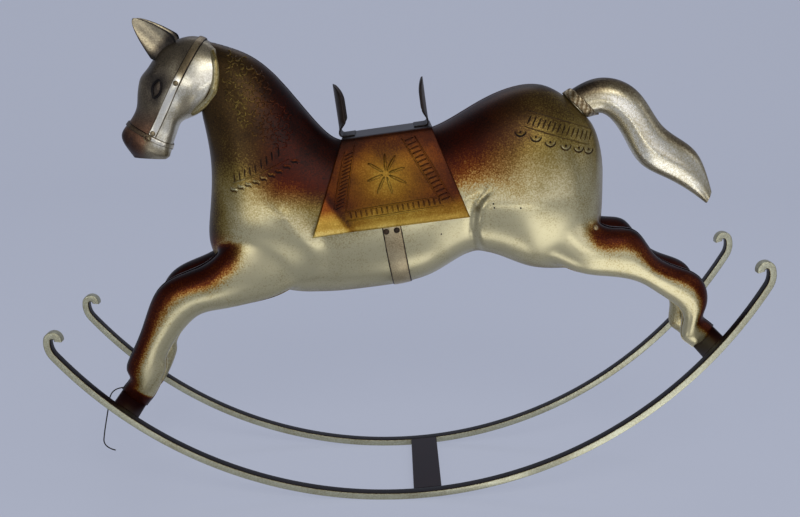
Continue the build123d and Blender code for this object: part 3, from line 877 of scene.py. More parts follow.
@dataclass
class BodyPressing:
    """A side of the trunk and neck with the two legs drawn out of it, the leg covers and the girth."""

    rockers: RockerFrame
    trunk_grid: tuple = (320, 96)
    leg_grid: tuple = (130, 40)
    seam_fade: float = 9.0  # the relief runs out over this depth
    worn: float = 0.02  # patina that is rubbed off everywhere
    leg_offset: float = 15.0
    leg_splay: float = 2.0
    hoof_length: float = 19.6
    hoof_depth: float = 7.6
    hoof_levels: tuple = (8.0, 2.0, -1.6)
    hoof_edge: tuple = (8.5, 5.0)
    cover_gap: float = 0.15
    cover_patina: float = 0.12
    voxel: float = 1.1
    skin_rounds: int = 11
    joint_rounds: int = 80
    girth_line: tuple = ((3, 184), (14, 122))
    girth_section: tuple = (12.0, 1.1)
    girth_patina: float = 0.38
    girth_rivets: Rows = ((1.4, 171.8), (7.8, 172.8))
    girth_head: tuple = (1.9, 1.0, 0.9)  # radius, height and lift of a rivet's head
    haunch_rivet: tuple = (131, 173.2)
    haunch_head: tuple = (1.7, 0.9)

    def __post_init__(self) -> None:
        """The trunk's left surface, with shoulder and haunch drawn out."""
        grid = half_oval(TRUNK, *self.trunk_grid)
        x, z = grid[..., 0], grid[..., 2]
        relief = SHOULDER.at(x, z) + HAUNCH.at(x, z) + bumps(x, z, FOLDS)
        grid[..., 1] -= relief * smoothstep(0.0, self.seam_fade, -grid[..., 1])
        self.skin = Skin(grid)

    def leg(self, rows: Rows, bar: int, forward: float, out: float = 1.0) -> Array:
        """A leg's closed half: the stations, then the hoof down into its bar.

        Args:
            rows: the leg's stations.
            bar: which bar it stands on.
            forward: -1 where a station's top is towards the head, 1 where it is towards the tail.
            out: 1 for the outer half, -1 for the cover that closes it on the inside.

        Returns:
            A tube grid, turned outwards by the splay about its foot.
        """
        foot, along, normal = self.rockers.bar_top(self.rockers.bar_angles[bar])
        hoof = [[*(foot + normal * height + forward * along * self.hoof_length / 2),
                 *(foot + normal * height - forward * along * self.hoof_length / 2), self.hoof_depth]
                for height in self.hoof_levels]
        grid = half_oval(np.array([*rows, *hoof]), *self.leg_grid)
        tilt = math.radians(self.leg_splay)
        y, z = out * grid[..., 1], grid[..., 2] - foot[1]
        grid[..., 1] = y * math.cos(tilt) - z * math.sin(tilt) - self.leg_offset
        grid[..., 2] = y * math.sin(tilt) + z * math.cos(tilt) + foot[1]
        return grid

    def colouring(self, place: Array, normal: Array) -> tuple[Array, Array]:
        """Patina and redness of the left pressing.

        The spray came from above: it lies thick on the back, thins out down the sides along a line
        that follows the body, and lies again on the upper side of each leg and on the front hoof.
        Painted shade darkens the faces that turn to the head, to the tail and downwards.
        """
        x, z = place[:, 0], place[:, 2]
        level = np.interp(x, [-112, -92, -75, -60, -45, -34, 0, 45, 60, 84, 110, 138],
                          [186, 190, 193, 194, 181, 179, 188, 205, 207, 207, 208, 202])
        soft = np.interp(x, [-100, -60, -40, 40, 70, 120], [34, 26, 24, 24, 34, 40])
        above = smoothstep(-1.0, 1.0, (z - level) / soft)
        # edge: painted shade on faces that turn to the head, on the chest, and on faces that turn to the tail.
        edge = (0.75 * smoothstep(0.1, 0.8, -normal[:, 0]) * smoothstep(-60.0, -85.0, x)
                + 0.35 * smoothstep(0.6, 1.0, normal[:, 0]))
        roof = 0.85 * smoothstep(0.55, 0.97, normal[:, 2])
        # Painted shade on faces that turn down, under the belly and the legs.
        painted_underside_shade = 0.45 * smoothstep(0.72, 0.98, -normal[:, 2])
        height = smoothstep(0.0, 55.0, z - level)
        thick = np.interp(x, [-110, -85, -65, 60, 85, 120], [0.65, 0.63, 0.79, 0.77, 0.58, 0.42])
        patina = np.maximum(np.maximum((thick + 0.14 * height) * above, edge * (1 - 0.4 * above)), roof)
        patina = np.maximum(patina, painted_underside_shade) - self.worn
        rust = smoothstep(-90.0, -60.0, x) * smoothstep(100.0, 50.0, x) * smoothstep(182.0, 200.0, z)
        for spray in LEG_SPRAYS:
            leg = smoothstep(*spray.along, x) * smoothstep(*spray.below, z)
            foot, _, rise = self.rockers.bar_top(self.rockers.bar_angles[spray.bar])
            hoof = smoothstep(*self.hoof_edge, (x - foot[0]) * rise[0] + (z - foot[1]) * rise[1])
            coat = np.maximum(spray.coat(normal, z), spray.hoof * hoof) - self.worn
            patina = patina * (1 - leg) + leg * coat
            rust = rust * (1 - leg) + leg
        return patina, rust

    def pressings(self) -> None:
        """Both pressings: trunk half and leg halves fused to one skin, which is mirrored for the right."""
        trunk = self.skin.grid.copy()
        trunk[..., 1] -= SEAM_GAP
        shapes = joined([trunk, *(self.leg(*leg) for leg in LEGS.values())])
        place, normal, quads = fused(*shapes, self.voxel, self.skin_rounds)
        joint = np.max([bump_at(place[:, 0], place[:, 2], *spot) for spot in JOINTS], axis=0)
        joint *= 0.7 * smoothstep(-12.0, -20.0, place[:, 1])
        place = eased(place, quads, joint, self.joint_rounds)
        put_sides("{}_body_pressing", (place, quads.tolist()), BODY_TIN, *self.colouring(place, normal),
                  "body_sheet", "{}_body_half", "front_{}_leg_shell", "hind_{}_leg_shell")

    def covers(self) -> None:
        """The four inner leg covers, each a half-oval sheet against its leg's seam."""
        for end, leg in LEGS.items():
            grid = self.leg(*leg, -1.0)
            grid[..., 1] += self.cover_gap
            normal = -grid_normals(grid)
            patina, rust = self.colouring(grid.reshape(-1, 3), normal.reshape(-1, 3))
            put_sides(f"{end}_{{}}_leg_lining", joined([grid]), BODY_TIN,
                      np.clip(patina + self.cover_patina, 0, 1), rust, "body_sheet", f"{end}_{{}}_leg_cover",
                      sharp=SHELL_CREASE)

    def girth(self) -> None:
        """The girth strap on both sides, its studs, and the rivets of the haunches."""
        band = self.skin.band(self.girth_line, strap_profile(*self.girth_section))
        put_both("girth_band", [band], STRAP_TIN, strap_patina(np.full(band.shape[0], self.girth_patina)),
                 0.3, "strap_metal", "girth_strap", sharp=STRAP_CREASE)
        put_both("girth_studs", self.skin.studs(self.girth_rivets, *self.girth_head), STRAP_TIN, 0.85, 0.3,
                 "rivet_metal", "girth_rivets", sharp=SHELL_CREASE)
        leg = Skin(self.leg(*LEGS["hind"]))
        put_both("haunch_studs", leg.studs((self.haunch_rivet,), *self.haunch_head), STRAP_TIN, 0.45, 0.6,
                 "rivet_metal", "haunch_rivets", sharp=SHELL_CREASE)

    def build(self) -> None:
        """The pressings, the leg covers and the girth."""
        self.pressings()
        self.covers()
        self.girth()


# Hills on the face, in mm, and painted highlights and shade in its patina, as bumps takes them.
EYE, EYE_SLANT = (-138.2, 256.8), 65.0
FACE_RELIEF = (
    (2.6, (-114.5, 254.5), (8, 10), 20),  # jaw
    (1.6, (-141.5, 265.5), (6, 3), 60),  # lid fold
    (-2.4, EYE, (7, 4), EYE_SLANT),  # eye socket
    (-1.0, (-127, 246), (10, 4), 62),  # hollow of the cheek
    (0.9, (-150, 220), (7, 4), 20),  # lips
    (-1.0, (-158.5, 224.5), (2.6, 1.3), 60))  # nostril
BROW = (1.5, (-148, 261.5), (3.2, 4.5), 0)
# Painted light in the face's patina: shade in the hollow of the cheek and round the eye socket, highlights along
# the cheekbone and on the brow.
FACE_PAINTED_LIGHT = (
    (0.3, (-122, 246.5), (7, 3.2), 55), (-0.22, (-128, 269), (6, 3), 60), (-0.5, (-132, 252), (6, 2.6), 60),
    (0.2, EYE, (8, 5), EYE_SLANT), (-0.16, (-149, 262), (4, 6)))


@dataclass
class Head:
    """Two head pressings with eyes, ears and the bridle."""

    cheek_line: tuple = ((-109, 291), (-143.5, 227.5))
    noseband_line: tuple = ((-163, 236.5), (-130, 218.5))
    face_grid: tuple = (240, 96)
    seam_fade: float = 6.0  # the relief runs out over this depth
    brow_push: tuple = (0.9, 0.25)  # forwards and upwards
    eye_size: tuple = (5.8, 3.0)
    eye_dome: tuple = (2.3, 0.9)  # the dome's height, and how deep it sits
    lid_size: float = 1.04  # against the eye
    lid_lift: float = 0.35
    lid_radius: float = 1.0
    ear_base: tuple = (-135, 282.6)
    ear_length: float = 23.8
    ear_root: float = 5.0
    ear_half_width: float = 9.0
    ear_lean: float = 47.5
    ear_cup: float = 15.0
    ear_spread: float = 5.0
    bridle_rivets: Rows = ((-125.5, 260.6), (-142.6, 229.4))
    bridle_head: tuple = (1.7, 0.9, 1.0)  # radius, height and lift of a rivet's head
    mask_depths: tuple = (16.6, 17.4)
    mask_bow: float = 3.4
    ring_place: tuple = (-146.0, 226.6)
    ring_radius: float = 2.0
    ring_wire: float = 0.55
    ring_lift: float = 1.5
    rim_rows: int = 60
    rim_section: tuple = (2.3, 1.5)
    cheek_section: tuple = (5.0, 1.0)
    nose_section: tuple = (3.2, 0.8)
    jaw_rim: Rows = ((-104, 281), (-101.2, 275), (-100.4, 268), (-101, 259.5), (-102.6, 254), (-105.8, 249.5),
                     (-110.4, 245.6), (-114.5, 242.4), (-119, 240.2))

    def __post_init__(self) -> None:
        """The left face with its cheek, brow and eye socket; its rear edge stands proud of the neck."""
        rows = np.array(HEAD, float)
        rows[:2, 4] = self.mask_depths
        grid = half_oval(rows, *self.face_grid)
        around = np.linspace(0.0, math.pi, grid.shape[1])[None]
        rear = smoothstep(0.14, 0.0, np.linspace(0.0, 1.0, grid.shape[0]))[:, None]
        grid[..., 0] += self.mask_bow * np.sin(around) * rear
        x, z = grid[..., 0].copy(), grid[..., 2].copy()
        relief = bumps(x, z, FACE_RELIEF)
        grid[..., 1] -= relief * smoothstep(0.0, self.seam_fade, -grid[..., 1])
        brow = bumps(x, z, (BROW,))
        grid[..., 0] -= brow * self.brow_push[0]
        grid[..., 2] += brow * self.brow_push[1]
        self.skin = Skin(grid)

    def behind_strap(self, x: Array, z: Array) -> Array:
        """Distance behind the cheek strap's middle line in the side view, mm."""
        start, end = np.array(self.cheek_line, float)
        along = (end - start) / np.linalg.norm(end - start)
        return (z - start[1]) * along[0] - (x - start[0]) * along[1]

    def pressings(self) -> None:
        """Both face halves: dark brow and muzzle before the strap, bright cheek and jaw behind it, with painted
        highlights and shade over both.
        """
        grid = self.skin.grid
        x, z = grid[..., 0], grid[..., 2]
        behind = self.behind_strap(x, z)
        patina = 0.62 - 0.53 * smoothstep(-4.0, 5.0, behind)
        patina += 0.32 * smoothstep(270.0, 284.0, z) * smoothstep(-2.0, 4.0, behind)
        patina += bumps(x, z, FACE_PAINTED_LIGHT)
        muzzle = smoothstep(226.0, 220.0, z + 0.5 * (x + 147.0))
        patina = patina * (1 - muzzle) + muzzle * (0.8 - 0.5 * smoothstep(-158.0, -142.0, x))
        rust = smoothstep(248.0, 228.0, z) * smoothstep(3.0, -4.0, behind)
        closed = grid.copy()
        closed[..., 1] -= SEAM_GAP
        put_sides("{}_head_pressing", joined([closed]), HEAD_TIN, np.clip(patina, 0.03, 1).ravel(), rust.ravel(),
                  "head_metal", "{}_head_half", sharp=SHELL_CREASE)

    def rims(self) -> None:
        """The rolled rear edge of each face half: a half-round strip along the jaw."""
        marks = np.array(self.jaw_rim, float)
        knots = np.concatenate([[0.0], np.cumsum(np.linalg.norm(np.diff(marks, axis=0), axis=1))])
        at = np.linspace(0.0, knots[-1], self.rim_rows)
        flat = np.stack([np.interp(at, knots, marks[:, 0]), np.interp(at, knots, marks[:, 1])], -1)
        flat = evened(flat, 4)
        depth = np.interp(at / knots[-1], [0, 0.15, 0.5, 0.85, 1], [-11.0, -16.0, -18.0, -13.0, -8.0])
        path = np.stack([flat[:, 0] - 0.9, depth, flat[:, 1] + 0.4 * at / knots[-1]], -1)
        up = np.broadcast_to(np.array([0.0, -1.0, 0.0]), path.shape)
        across = unit(np.cross(unit(np.gradient(path, axis=0)), up))
        turn = np.linspace(0.0, 2 * math.pi, 14, endpoint=False)
        profile = np.array(self.rim_section) * np.stack([np.cos(turn), np.sin(turn)], -1)
        size = 0.35 + 0.65 * np.sin(np.linspace(0.15, math.pi - 0.15, self.rim_rows)) ** 0.6
        grid = path[:, None] + size[:, None, None] * (swept(path, up, across, profile) - path[:, None])
        # One half of the rim's section is painted dark as shade.
        patina = np.broadcast_to(np.where(np.cos(turn) > 0.2, 0.12, 0.3), grid.shape[:2]).ravel()
        put_sides("{}_jaw_rim", joined([grid]), BODY_TIN, patina, 0.0, "head_metal")

    def bridle(self) -> None:
        """Cheek straps over the poll, the noseband, and their rivets."""
        cheek = self.skin.band(self.cheek_line, strap_profile(*self.cheek_section))
        fade = 0.55 * smoothstep(262.0, 268.0, cheek[:, 4, 2]) + 0.03
        put_both("cheek_strips", [cheek], STRAP_TIN, strap_patina(fade), 0.2, "strap_metal", "cheek_straps",
                 sharp=STRAP_CREASE)
        nose = self.skin.band(self.noseband_line, strap_profile(*self.nose_section))
        fade = 0.7 * smoothstep(-143.0, -147.0, nose[:, 4, 0]) + 0.08
        put_both("noseband_strip", [nose], STRAP_TIN, strap_patina(fade), 0.3, "strap_metal", "noseband",
                 sharp=STRAP_CREASE)
        place, normal = (part[0] for part in self.skin.at(np.array([self.ring_place])))
        first = unit(np.cross(normal, np.array([0.0, 0.0, 1.0])))
        turn = np.linspace(0.0, 2 * math.pi, 25)[:, None]
        ring = np.cos(turn) * first + np.sin(turn) * np.cross(normal, first)
        loop = place + normal * self.ring_lift + self.ring_radius * ring
        put_both("bridle_rings", tubes(loop[None], self.ring_wire, 8), STRAP_TIN, 0.6, 0.2, "strap_metal")
        put_both("bridle_studs", self.skin.studs(self.bridle_rivets, *self.bridle_head), STRAP_TIN, 0.5, 0.2,
                 "rivet_metal", "bridle_rivets", sharp=SHELL_CREASE)

    def eyes(self) -> None:
        """Almond eyes: a dome over an almond outline, and a lid rolled round it.

        With l and s the eye's two sizes, its outline at angle a is (l cos a, s sin a |sin a|^0.6), turned
        to the eye's slant.
        """
        place, normal = (part[0] for part in self.skin.at(np.array([EYE])))
        slant = math.radians(EYE_SLANT)
        long = np.array([math.cos(slant), 0.0, math.sin(slant)])
        long = unit(long - normal * (long @ normal))
        short = np.cross(normal, long)
        turn = np.linspace(0.0, 2 * math.pi, 40, endpoint=False)
        rim = (self.eye_size[0] * np.cos(turn)[:, None] * long
               + (self.eye_size[1] * np.sin(turn) * np.abs(np.sin(turn)) ** 0.6)[:, None] * short)
        rise = np.linspace(0.0, math.pi / 2 - 0.1, 9)[:, None, None]
        ball = place + np.cos(rise) * rim[None] + (self.eye_dome[0] * np.sin(rise) - self.eye_dome[1]) * normal
        lid_path = np.concatenate([rim, rim[:1]]) * self.lid_size + place + normal * self.lid_lift
        lid = tubes(lid_path[None], self.lid_radius, 8)
        for side in Side:
            put_sides("{}_eye_button", joined([ball]), HEAD_TIN, 0.68, 0.2, "head_metal", "{}_eye", sides=(side,))
            put_sides("{}_eye_lid", joined(lid), HEAD_TIN, 1.0, 0.2, "head_metal", sides=(side,))

    def ears(self) -> None:
        """Cupped leaves.

        At share u of its length, a leaf is half_width (1 - u)^0.8 (1 + 0.3 u) wide on its upper side and
        1.15 half_width (1 - u)^0.5 on its lower one; it lies on a cylinder whose axis runs along the leaf.
        """
        u, v = np.meshgrid(np.linspace(-self.ear_root / self.ear_length, 0.995, 40), np.linspace(-1, 1, 25),
                           indexing="ij")
        rise = np.clip(u, 0.0, 1.0)
        width = np.where(v > 0, (1 - rise) ** 0.8 * (1 + 0.3 * rise), 1.15 * (1 - rise) ** 0.5)
        width *= self.ear_half_width * smoothstep(-0.6, 0.0, u)
        side_way = width * v
        depth = self.ear_spread + self.ear_cup - np.sqrt(self.ear_cup**2 - side_way**2)
        lean = math.radians(self.ear_lean)
        length = u * self.ear_length
        x = self.ear_base[0] - length * math.sin(lean) + side_way * math.cos(lean)
        z = self.ear_base[1] + length * math.cos(lean) + side_way * math.sin(lean)
        grid = np.stack([x, -depth, z], -1)
        # The ear's base is painted dark as shade where it meets the head; its edges are dark too.
        patina = 0.34 + 0.45 * smoothstep(0.2, -0.05, u) + 0.6 * smoothstep(0.88, 1.0, np.abs(v))
        put_sides("{}_ear_leaf", (grid.reshape(-1, 3), grid_faces(*grid.shape[:2])), HEAD_TIN, patina.ravel(), 0.0,
                  "head_metal", "{}_ear", wall=(SHEET, 0.0))

    def build(self) -> None:
        """Face, rims, bridle, eyes and ears."""
        self.pressings()
        self.rims()
        self.bridle()
        self.eyes()
        self.ears()


@dataclass
class Tail:
    """The tail's two pressings and the wiped solder joint at its root."""

    collar_line: tuple = ((110, 259), (133, 237))
    collar_section: tuple = (6.0, 1.2)
    wrinkle: float = 0.35
    furrow: float = 0.16
    furrow_waves: tuple = (3.4, 0.6)  # round a section, and along the tail
    rows: int = 200
    around: int = 80

    def __post_init__(self) -> None:
        """The left half, with shallow hair furrows running along it.

        The furrows are waves of the section's own parameter, which drift along the tail.
        """
        grid = half_oval(TAIL, self.rows, self.around)
        self.share = np.linspace(0.0, 1.0, self.around)[None, :]
        self.along = np.linspace(0.0, 1.0, self.rows)[:, None]
        waves = self.furrow_waves[0] * self.share + self.furrow_waves[1] * self.along
        self.wave = np.sin(2 * math.pi * waves)
        furrow = self.furrow * self.wave * np.sin(math.pi * self.share)
        grid[..., 1] -= furrow * smoothstep(0.12, 0.3, self.along)
        self.skin = Skin(grid)

    def build(self) -> None:
        """Both halves and the collar."""
        grid = self.skin.grid.copy()
        grid[..., 1] -= SEAM_GAP
        up = self.skin.normal[..., 2]
        # Faces turned up carry dark dust; faces turned down are painted dark as shade.
        patina = (0.15 + 0.5 * smoothstep(0.0, 0.85, up) + 0.3 * smoothstep(0.5, 0.95, -up)
                  + 0.3 * smoothstep(0.24, 0.08, self.along) * smoothstep(0.9, 0.3, self.share)
                  + 0.2 * smoothstep(0.82, 1.0, self.along) + 0.05 * self.wave)
        put_sides("{}_tail_pressing", joined([grid]), TAIL_TIN, patina.ravel(), 0.25, "tail_sheet", "{}_tail_half",
                  sharp=SHELL_CREASE)
        band = self.skin.band(self.collar_line, strap_profile(*self.collar_section))
        turn = np.arange(band.shape[0])[:, None]
        wrinkle = self.wrinkle * np.sin(turn * 0.9 + np.arange(band.shape[1])[None, :] * 2.1)
        band[..., 0] += wrinkle * 0.6
        band[..., 1] += wrinkle * 0.5
        patina = np.tile((0.5 + 0.8 * wrinkle).ravel(), 2)
        put_both("tail_solder_collar", [band], SOLDER, patina, 0.2, "tail_sheet", "tail_collar")


@dataclass
class Saddle:
    """The skirt bent over the back, with its stamped star and borders, and the two upright plates."""

    top_front: tuple = (-26.0, 226.9)
    top_rear: tuple = (29.0, 234.7)
    bottom_front: tuple = (-43.5, 169.0)
    bottom_rear: tuple = (52.5, 181.5)
    half_top: float = 18.9
    flare: float = 16.5
    bow: float = 2.6
    drop: float = 60.0
    corner_place: tuple = (-29.6, 184.5)
    corner_way: tuple = (-0.79, -0.61)
    corner_bend: float = 0.16
    flap_rows: tuple = (70, 50)
    top_rows: int = 30
    fold_rounds: int = 3
    tongue_width: float = 24.0
    tongue_bend: float = 2.2
    tongue_foot: float = 9.0

    def top_line(self) -> tuple[Array, Array]:
        """The top line's front end, and its direction."""
        start = np.array(self.top_front)
        return start, unit(np.array(self.top_rear) - start)

    def past_corner(self, x: Array, z: Array) -> Array:
        """Distance past the line at which the front corner of a flap is bent up, mm."""
        return (x - self.corner_place[0]) * self.corner_way[0] + (z - self.corner_place[1]) * self.corner_way[1]

    def depth(self, x: Array, z: Array) -> Array:
        """How far out a flap stands at a place in the side view.

        With d the distance under the top line as a share of the drop, it is half_top + flare d plus
        a bow of 4 bow d (1 - d).
        """
        start, line = self.top_line()
        under = ((x - start[0]) * line[1] - (z - start[1]) * line[0]) / self.drop
        return self.half_top + self.flare * under + 4 * self.bow * under * (1 - under)

    def colouring(self, x: Array, z: Array) -> tuple[Array, Array]:
        """Patina and redness of a flap: red-brown all round, worn to olive gold in the middle and low down; its
        bent-up front corner carries a painted highlight, with painted shade along the fold.
        """
        start = np.array(self.bottom_front)
        line = unit(np.array(self.bottom_rear) - start)
        over = (z - start[1]) * line[0] - (x - start[0]) * line[1]
        worn = bump_at(x, z, (3.0, 203.0), (17.0, 15.0)) + 0.8 * smoothstep(17.0, 6.0, over)
        patina = (0.74 - 0.26 * np.clip(worn, 0, 1) - 0.2 * smoothstep(5.0, 1.5, over)
                  + 0.12 * smoothstep(40.0, 54.0, over))
        corner = self.past_corner(x, z)
        # Painted highlight on the bent-up corner, and a line of painted shade along its fold.
        patina -= 0.22 * smoothstep(-0.5, 2.5, corner)
        patina += 0.2 * bump_at(corner, 0 * corner, (-1.2, 0), (1.0, 1.0))
        return patina, np.clip(1.0 - 0.85 * worn, 0.05, 1.0)

    def flap(self, along: int, across: int) -> Array:
        """The left flap from hem to fold: the four corners of the side view, blended both ways."""
        a = np.linspace(0.0, 1.0, along)[:, None, None]
        b = np.linspace(0.0, 1.0, across)[None, :, None]
        low = (1 - a) * np.array(self.bottom_front) + a * np.array(self.bottom_rear)
        high = (1 - a) * np.array(self.top_front) + a * np.array(self.top_rear)
        flat = (1 - b) * low + b * high
        return np.stack([flat[..., 0], -self.depth(flat[..., 0], flat[..., 1]), flat[..., 1]], -1)

    def skirt(self) -> None:
        """The sheet: left flap, flat top and right flap in one grid, its folds rounded off."""
        left = self.flap(*self.flap_rows)
        right = left[:, ::-1] * np.array([1.0, -1.0, 1.0])
        left[..., 1] -= self.corner_bend * np.maximum(self.past_corner(left[..., 0], left[..., 2]), 0.0)
        share = np.linspace(0.0, 1.0, self.top_rows + 2)[None, 1:-1, None]
        top = left[:, -1:] * (1 - share) + right[:, :1] * share
        grid = np.concatenate([left, top, right], 1)
        for _ in range(self.fold_rounds):
            grid[:, 1:-1] = 0.25 * grid[:, :-2] + 0.5 * grid[:, 1:-1] + 0.25 * grid[:, 2:]
        patina, rust = self.colouring(grid[..., 0], grid[..., 2])
        patina[:, self.flap_rows[1]:-self.flap_rows[1]] = 1.1
        piece = put_mesh("saddle_skirt_sheet", grid.reshape(-1, 3), grid_faces(*grid.shape[:2]), SADDLE_COPPER,
                         patina.ravel(), rust.ravel(), wall=(SHEET, -1.0))
        settle(piece, "saddle_sheet", "saddle_skirt")

    def plate(self, name: str, node: str, at: float, turned: float, height: float, cup: float) -> None:
        """An upright tongue: a foot, a bend and a plate with a round top, cupped towards the seat.

        The strip follows a line, a quarter circle and a line; its half width is that of the tongue up to
        the round top, then sqrt(w^2 - h^2). Above the bend the cup pushes it by cup (y / w)^2 to the seat.

        Args:
            name, node: the piece and the CAD node that it stands for.
            at: its place along the saddle's top line from the front, mm.
            turned: 1 with its foot towards the tail, -1 towards the head.
            height: over the saddle.
            cup: depth of the cup at the tongue's edge.
        """
        bend = self.tongue_bend
        turn = np.linspace(0.0, math.pi / 2, 9)
        rise = np.concatenate([np.zeros(5), bend * (1 - np.cos(turn)), np.linspace(bend, height, 42)[1:]])
        out = np.concatenate([np.linspace(self.tongue_foot, bend, 6)[:-1], bend * (1 - np.sin(turn)),
                              np.zeros(41)])
        half = self.tongue_width / 2
        over = np.maximum(rise - (height - half), 0.0)
        width = np.sqrt(np.maximum(half**2 - over**2, 0.04))
        v = np.linspace(-1.0, 1.0, 21)[None, :]
        y = width[:, None] * v
        lift = rise[:, None] + SHEET / 2
        x = out[:, None] + SHEET / 2 + cup * (y / half) ** 2 * smoothstep(3.0, 10.0, lift)
        start, along = self.top_line()
        reach = at + turned * x
        grid = np.stack([start[0] + along[0] * reach - along[1] * lift, y + 0 * x,
                         start[1] + along[1] * reach + along[0] * lift], -1)
        # The foot is painted dark as shade where it lies on the skirt; the plate's edges are dark too.
        patina = 0.62 + 0.3 * smoothstep(0.85, 1.0, np.abs(v)) + 0.45 * smoothstep(12.0, 2.0, lift)
        piece = put_mesh(name, grid.reshape(-1, 3), grid_faces(*grid.shape[:2]), PLATE_IRON,
                         np.broadcast_to(patina, grid.shape[:2]).ravel(), 0.3, wall=(SHEET, 0.0))
        settle(piece, "saddle_sheet", node)

    def plates(self) -> None:
        """The pommel plate at the front and the cantle plate at the back."""
        length = math.dist(self.top_front, self.top_rear)
        self.plate("pommel_tongue", "pommel_plate", -1.5, 1.0, 32.0, 4.6)
        self.plate("cantle_tongue", "cantle_plate", length - 1.0, -1.0, 29.0, 2.6)

    def build(self) -> None:
        """The skirt and the plates."""
        self.skirt()
        self.plates()


@dataclass
class Ornament:
    """The stamped lines of neck, breast, rump and saddle, as low beads on the sheet, some painted dark as shade
    and some light as highlights.
    """

    body: BodyPressing
    saddle: Saddle
    relief: float = 0.5
    crescent_radius: float = 1.6
    crescent_turn: float = 230.0
    mane_pitch: tuple = (4.3, 3.9)
    mane_stagger: float = 2.1
    mane_scatter: float = 0.7

    def beads(self, name: str, paths: Array, radius: float, patina: Array | float, rust: Array | float,
              finish: SprayedMetal, slot: str) -> None:
        """One piece from M x K x 3 bead paths on the left and their mirror images on the right."""
        grids = tubes(paths, radius)
        round_bead = grids[0].shape[1]
        spread = [np.tile(np.repeat(np.broadcast_to(part, paths.shape[:2]).ravel(), round_bead), 2)
                  for part in (patina, rust)]
        put_both(name, grids, finish, *spread, slot)

    def body_beads(self, name: str, flat: Array, radius: float, darker: float) -> None:
        """Low beads on the trunk at M x K x 2 places, their patina shifted from the body's there: up for painted
        shade, down for a painted highlight.
        """
        place, normal = self.body.skin.at(flat.reshape(-1, 2))
        patina, rust = self.body.colouring(place, normal)
        shape = flat.shape[:2]
        raised = place + normal * (self.relief - radius)
        self.beads(name, raised.reshape(*shape, 3), radius, (patina + darker).reshape(shape),
                   rust.reshape(shape), BODY_TIN, "body_sheet")

    def skirt_beads(self, name: str, flat: Array, radius: float, darker: float) -> None:
        """Low beads on the saddle's flaps at M x K x 2 places, their patina shifted from the flap's: up for
        painted shade, down for a painted highlight.
        """
        depth = -self.saddle.depth(flat[..., 0], flat[..., 1]) + 0.2 * radius
        patina, rust = self.saddle.colouring(flat[..., 0], flat[..., 1])
        self.beads(name, np.stack([flat[..., 0], depth, flat[..., 1]], -1), radius, patina + darker, rust,
                   SADDLE_COPPER, "saddle_sheet")

    def lines(self, pairs: Rows, count: int) -> Array:
        """M x count x 2 places along straight lines, each x0, z0, x1, z1."""
        ends = np.asarray(pairs, float)
        share = np.linspace(0.0, 1.0, count)[None, :, None]
        return ends[:, None, 0:2] * (1 - share) + ends[:, None, 2:4] * share

    def strokes(self, places: Array, first: tuple, second: tuple) -> Array:
        """M x 5 x 2 places along short lines, each from one offset of its place to another."""
        return self.lines(np.concatenate([places + np.array(first), places + np.array(second)], 1), 5)

    def mane(self) -> None:
        """Crescents in staggered rows down the side of the neck: short arcs, turned at random."""
        draw = np.random.default_rng(7)
        corners = np.array([(-96, 280), (-84, 274.5), (-70, 261.5), (-59.5, 246), (-54, 234.5), (-62, 221),
                            (-75, 228), (-90, 239), (-97, 250), (-96, 266)])
        u, v = np.meshgrid(np.arange(-104, -50, self.mane_pitch[0]), np.arange(216, 284, self.mane_pitch[1]),
                           indexing="ij")
        u = u + np.where(np.arange(u.shape[1]) % 2, self.mane_stagger, 0.0)[None, :]
        spots = np.stack([u.ravel(), v.ravel()], -1)
        spots = spots + draw.uniform(-self.mane_scatter, self.mane_scatter, spots.shape)
        nxt = np.roll(corners, -1, axis=0)
        rises = (corners[None, :, 1] > spots[:, 1:2]) != (nxt[None, :, 1] > spots[:, 1:2])
        cut = corners[:, 0] + (spots[:, 1:2] - corners[:, 1]) / (nxt[:, 1] - corners[:, 1]) * (
            nxt[:, 0] - corners[:, 0])
        spots = spots[(rises & (spots[:, 0:1] < cut)).sum(1) % 2 == 1]
        arc = np.linspace(0.0, math.radians(self.crescent_turn), 7)
        turn = draw.uniform(0.0, 2 * math.pi, (len(spots), 1)) + arc[None]
        flat = spots[:, None] + self.crescent_radius * np.stack([np.cos(turn), np.sin(turn)], -1)
        # The crescents are painted light, as glints on their relief.
        self.body_beads("mane_crescents", flat, 0.6, -0.17)

    def breast(self) -> None:
        """A fringe of upright strokes over a line and a row of leaves, across the base of the neck. The strokes
        carry painted shade, the line and the leaves painted highlights, and a dark copy of the leaves set below
        them is their painted shadow.
        """
        rows = np.array([(-91, 203.6), (-87.8, 205.5), (-84.6, 207.2), (-81.3, 208.3), (-78, 209.8),
                         (-74.4, 212.7), (-71.2, 215), (-67.9, 217.4), (-63.9, 219.8)])
        self.body_beads("breast_fringe", self.strokes(rows, (-0.2, 2.7), (0.2, -2.7)), 0.7, 0.3)
        line = self.lines(((-92, 201, -76, 206.5), (-76, 206.5, -58, 215.5)), 12)
        self.body_beads("breast_line", line, 0.6, -0.12)
        run = np.linspace(-91.5, -54.0, 9)
        leaves = np.stack([run, np.interp(run, [-91.5, -78, -61.5, -54], [197.2, 202.3, 209.8, 214.9])], -1)
        s = np.linspace(-1.0, 1.0, 9)
        leaf = np.stack([2.2 * s, -1.0 * s + 0.5 * np.sin(math.pi * s)], -1)
        row = leaves[:, None] + leaf[None]
        self.body_beads("breast_leaves", row, 0.8, -0.25)
        # A dark copy of the leaves, shifted down: their painted shadow.
        self.body_beads("breast_shades", row - np.array([0.5, 1.3]), 0.7, 0.35)

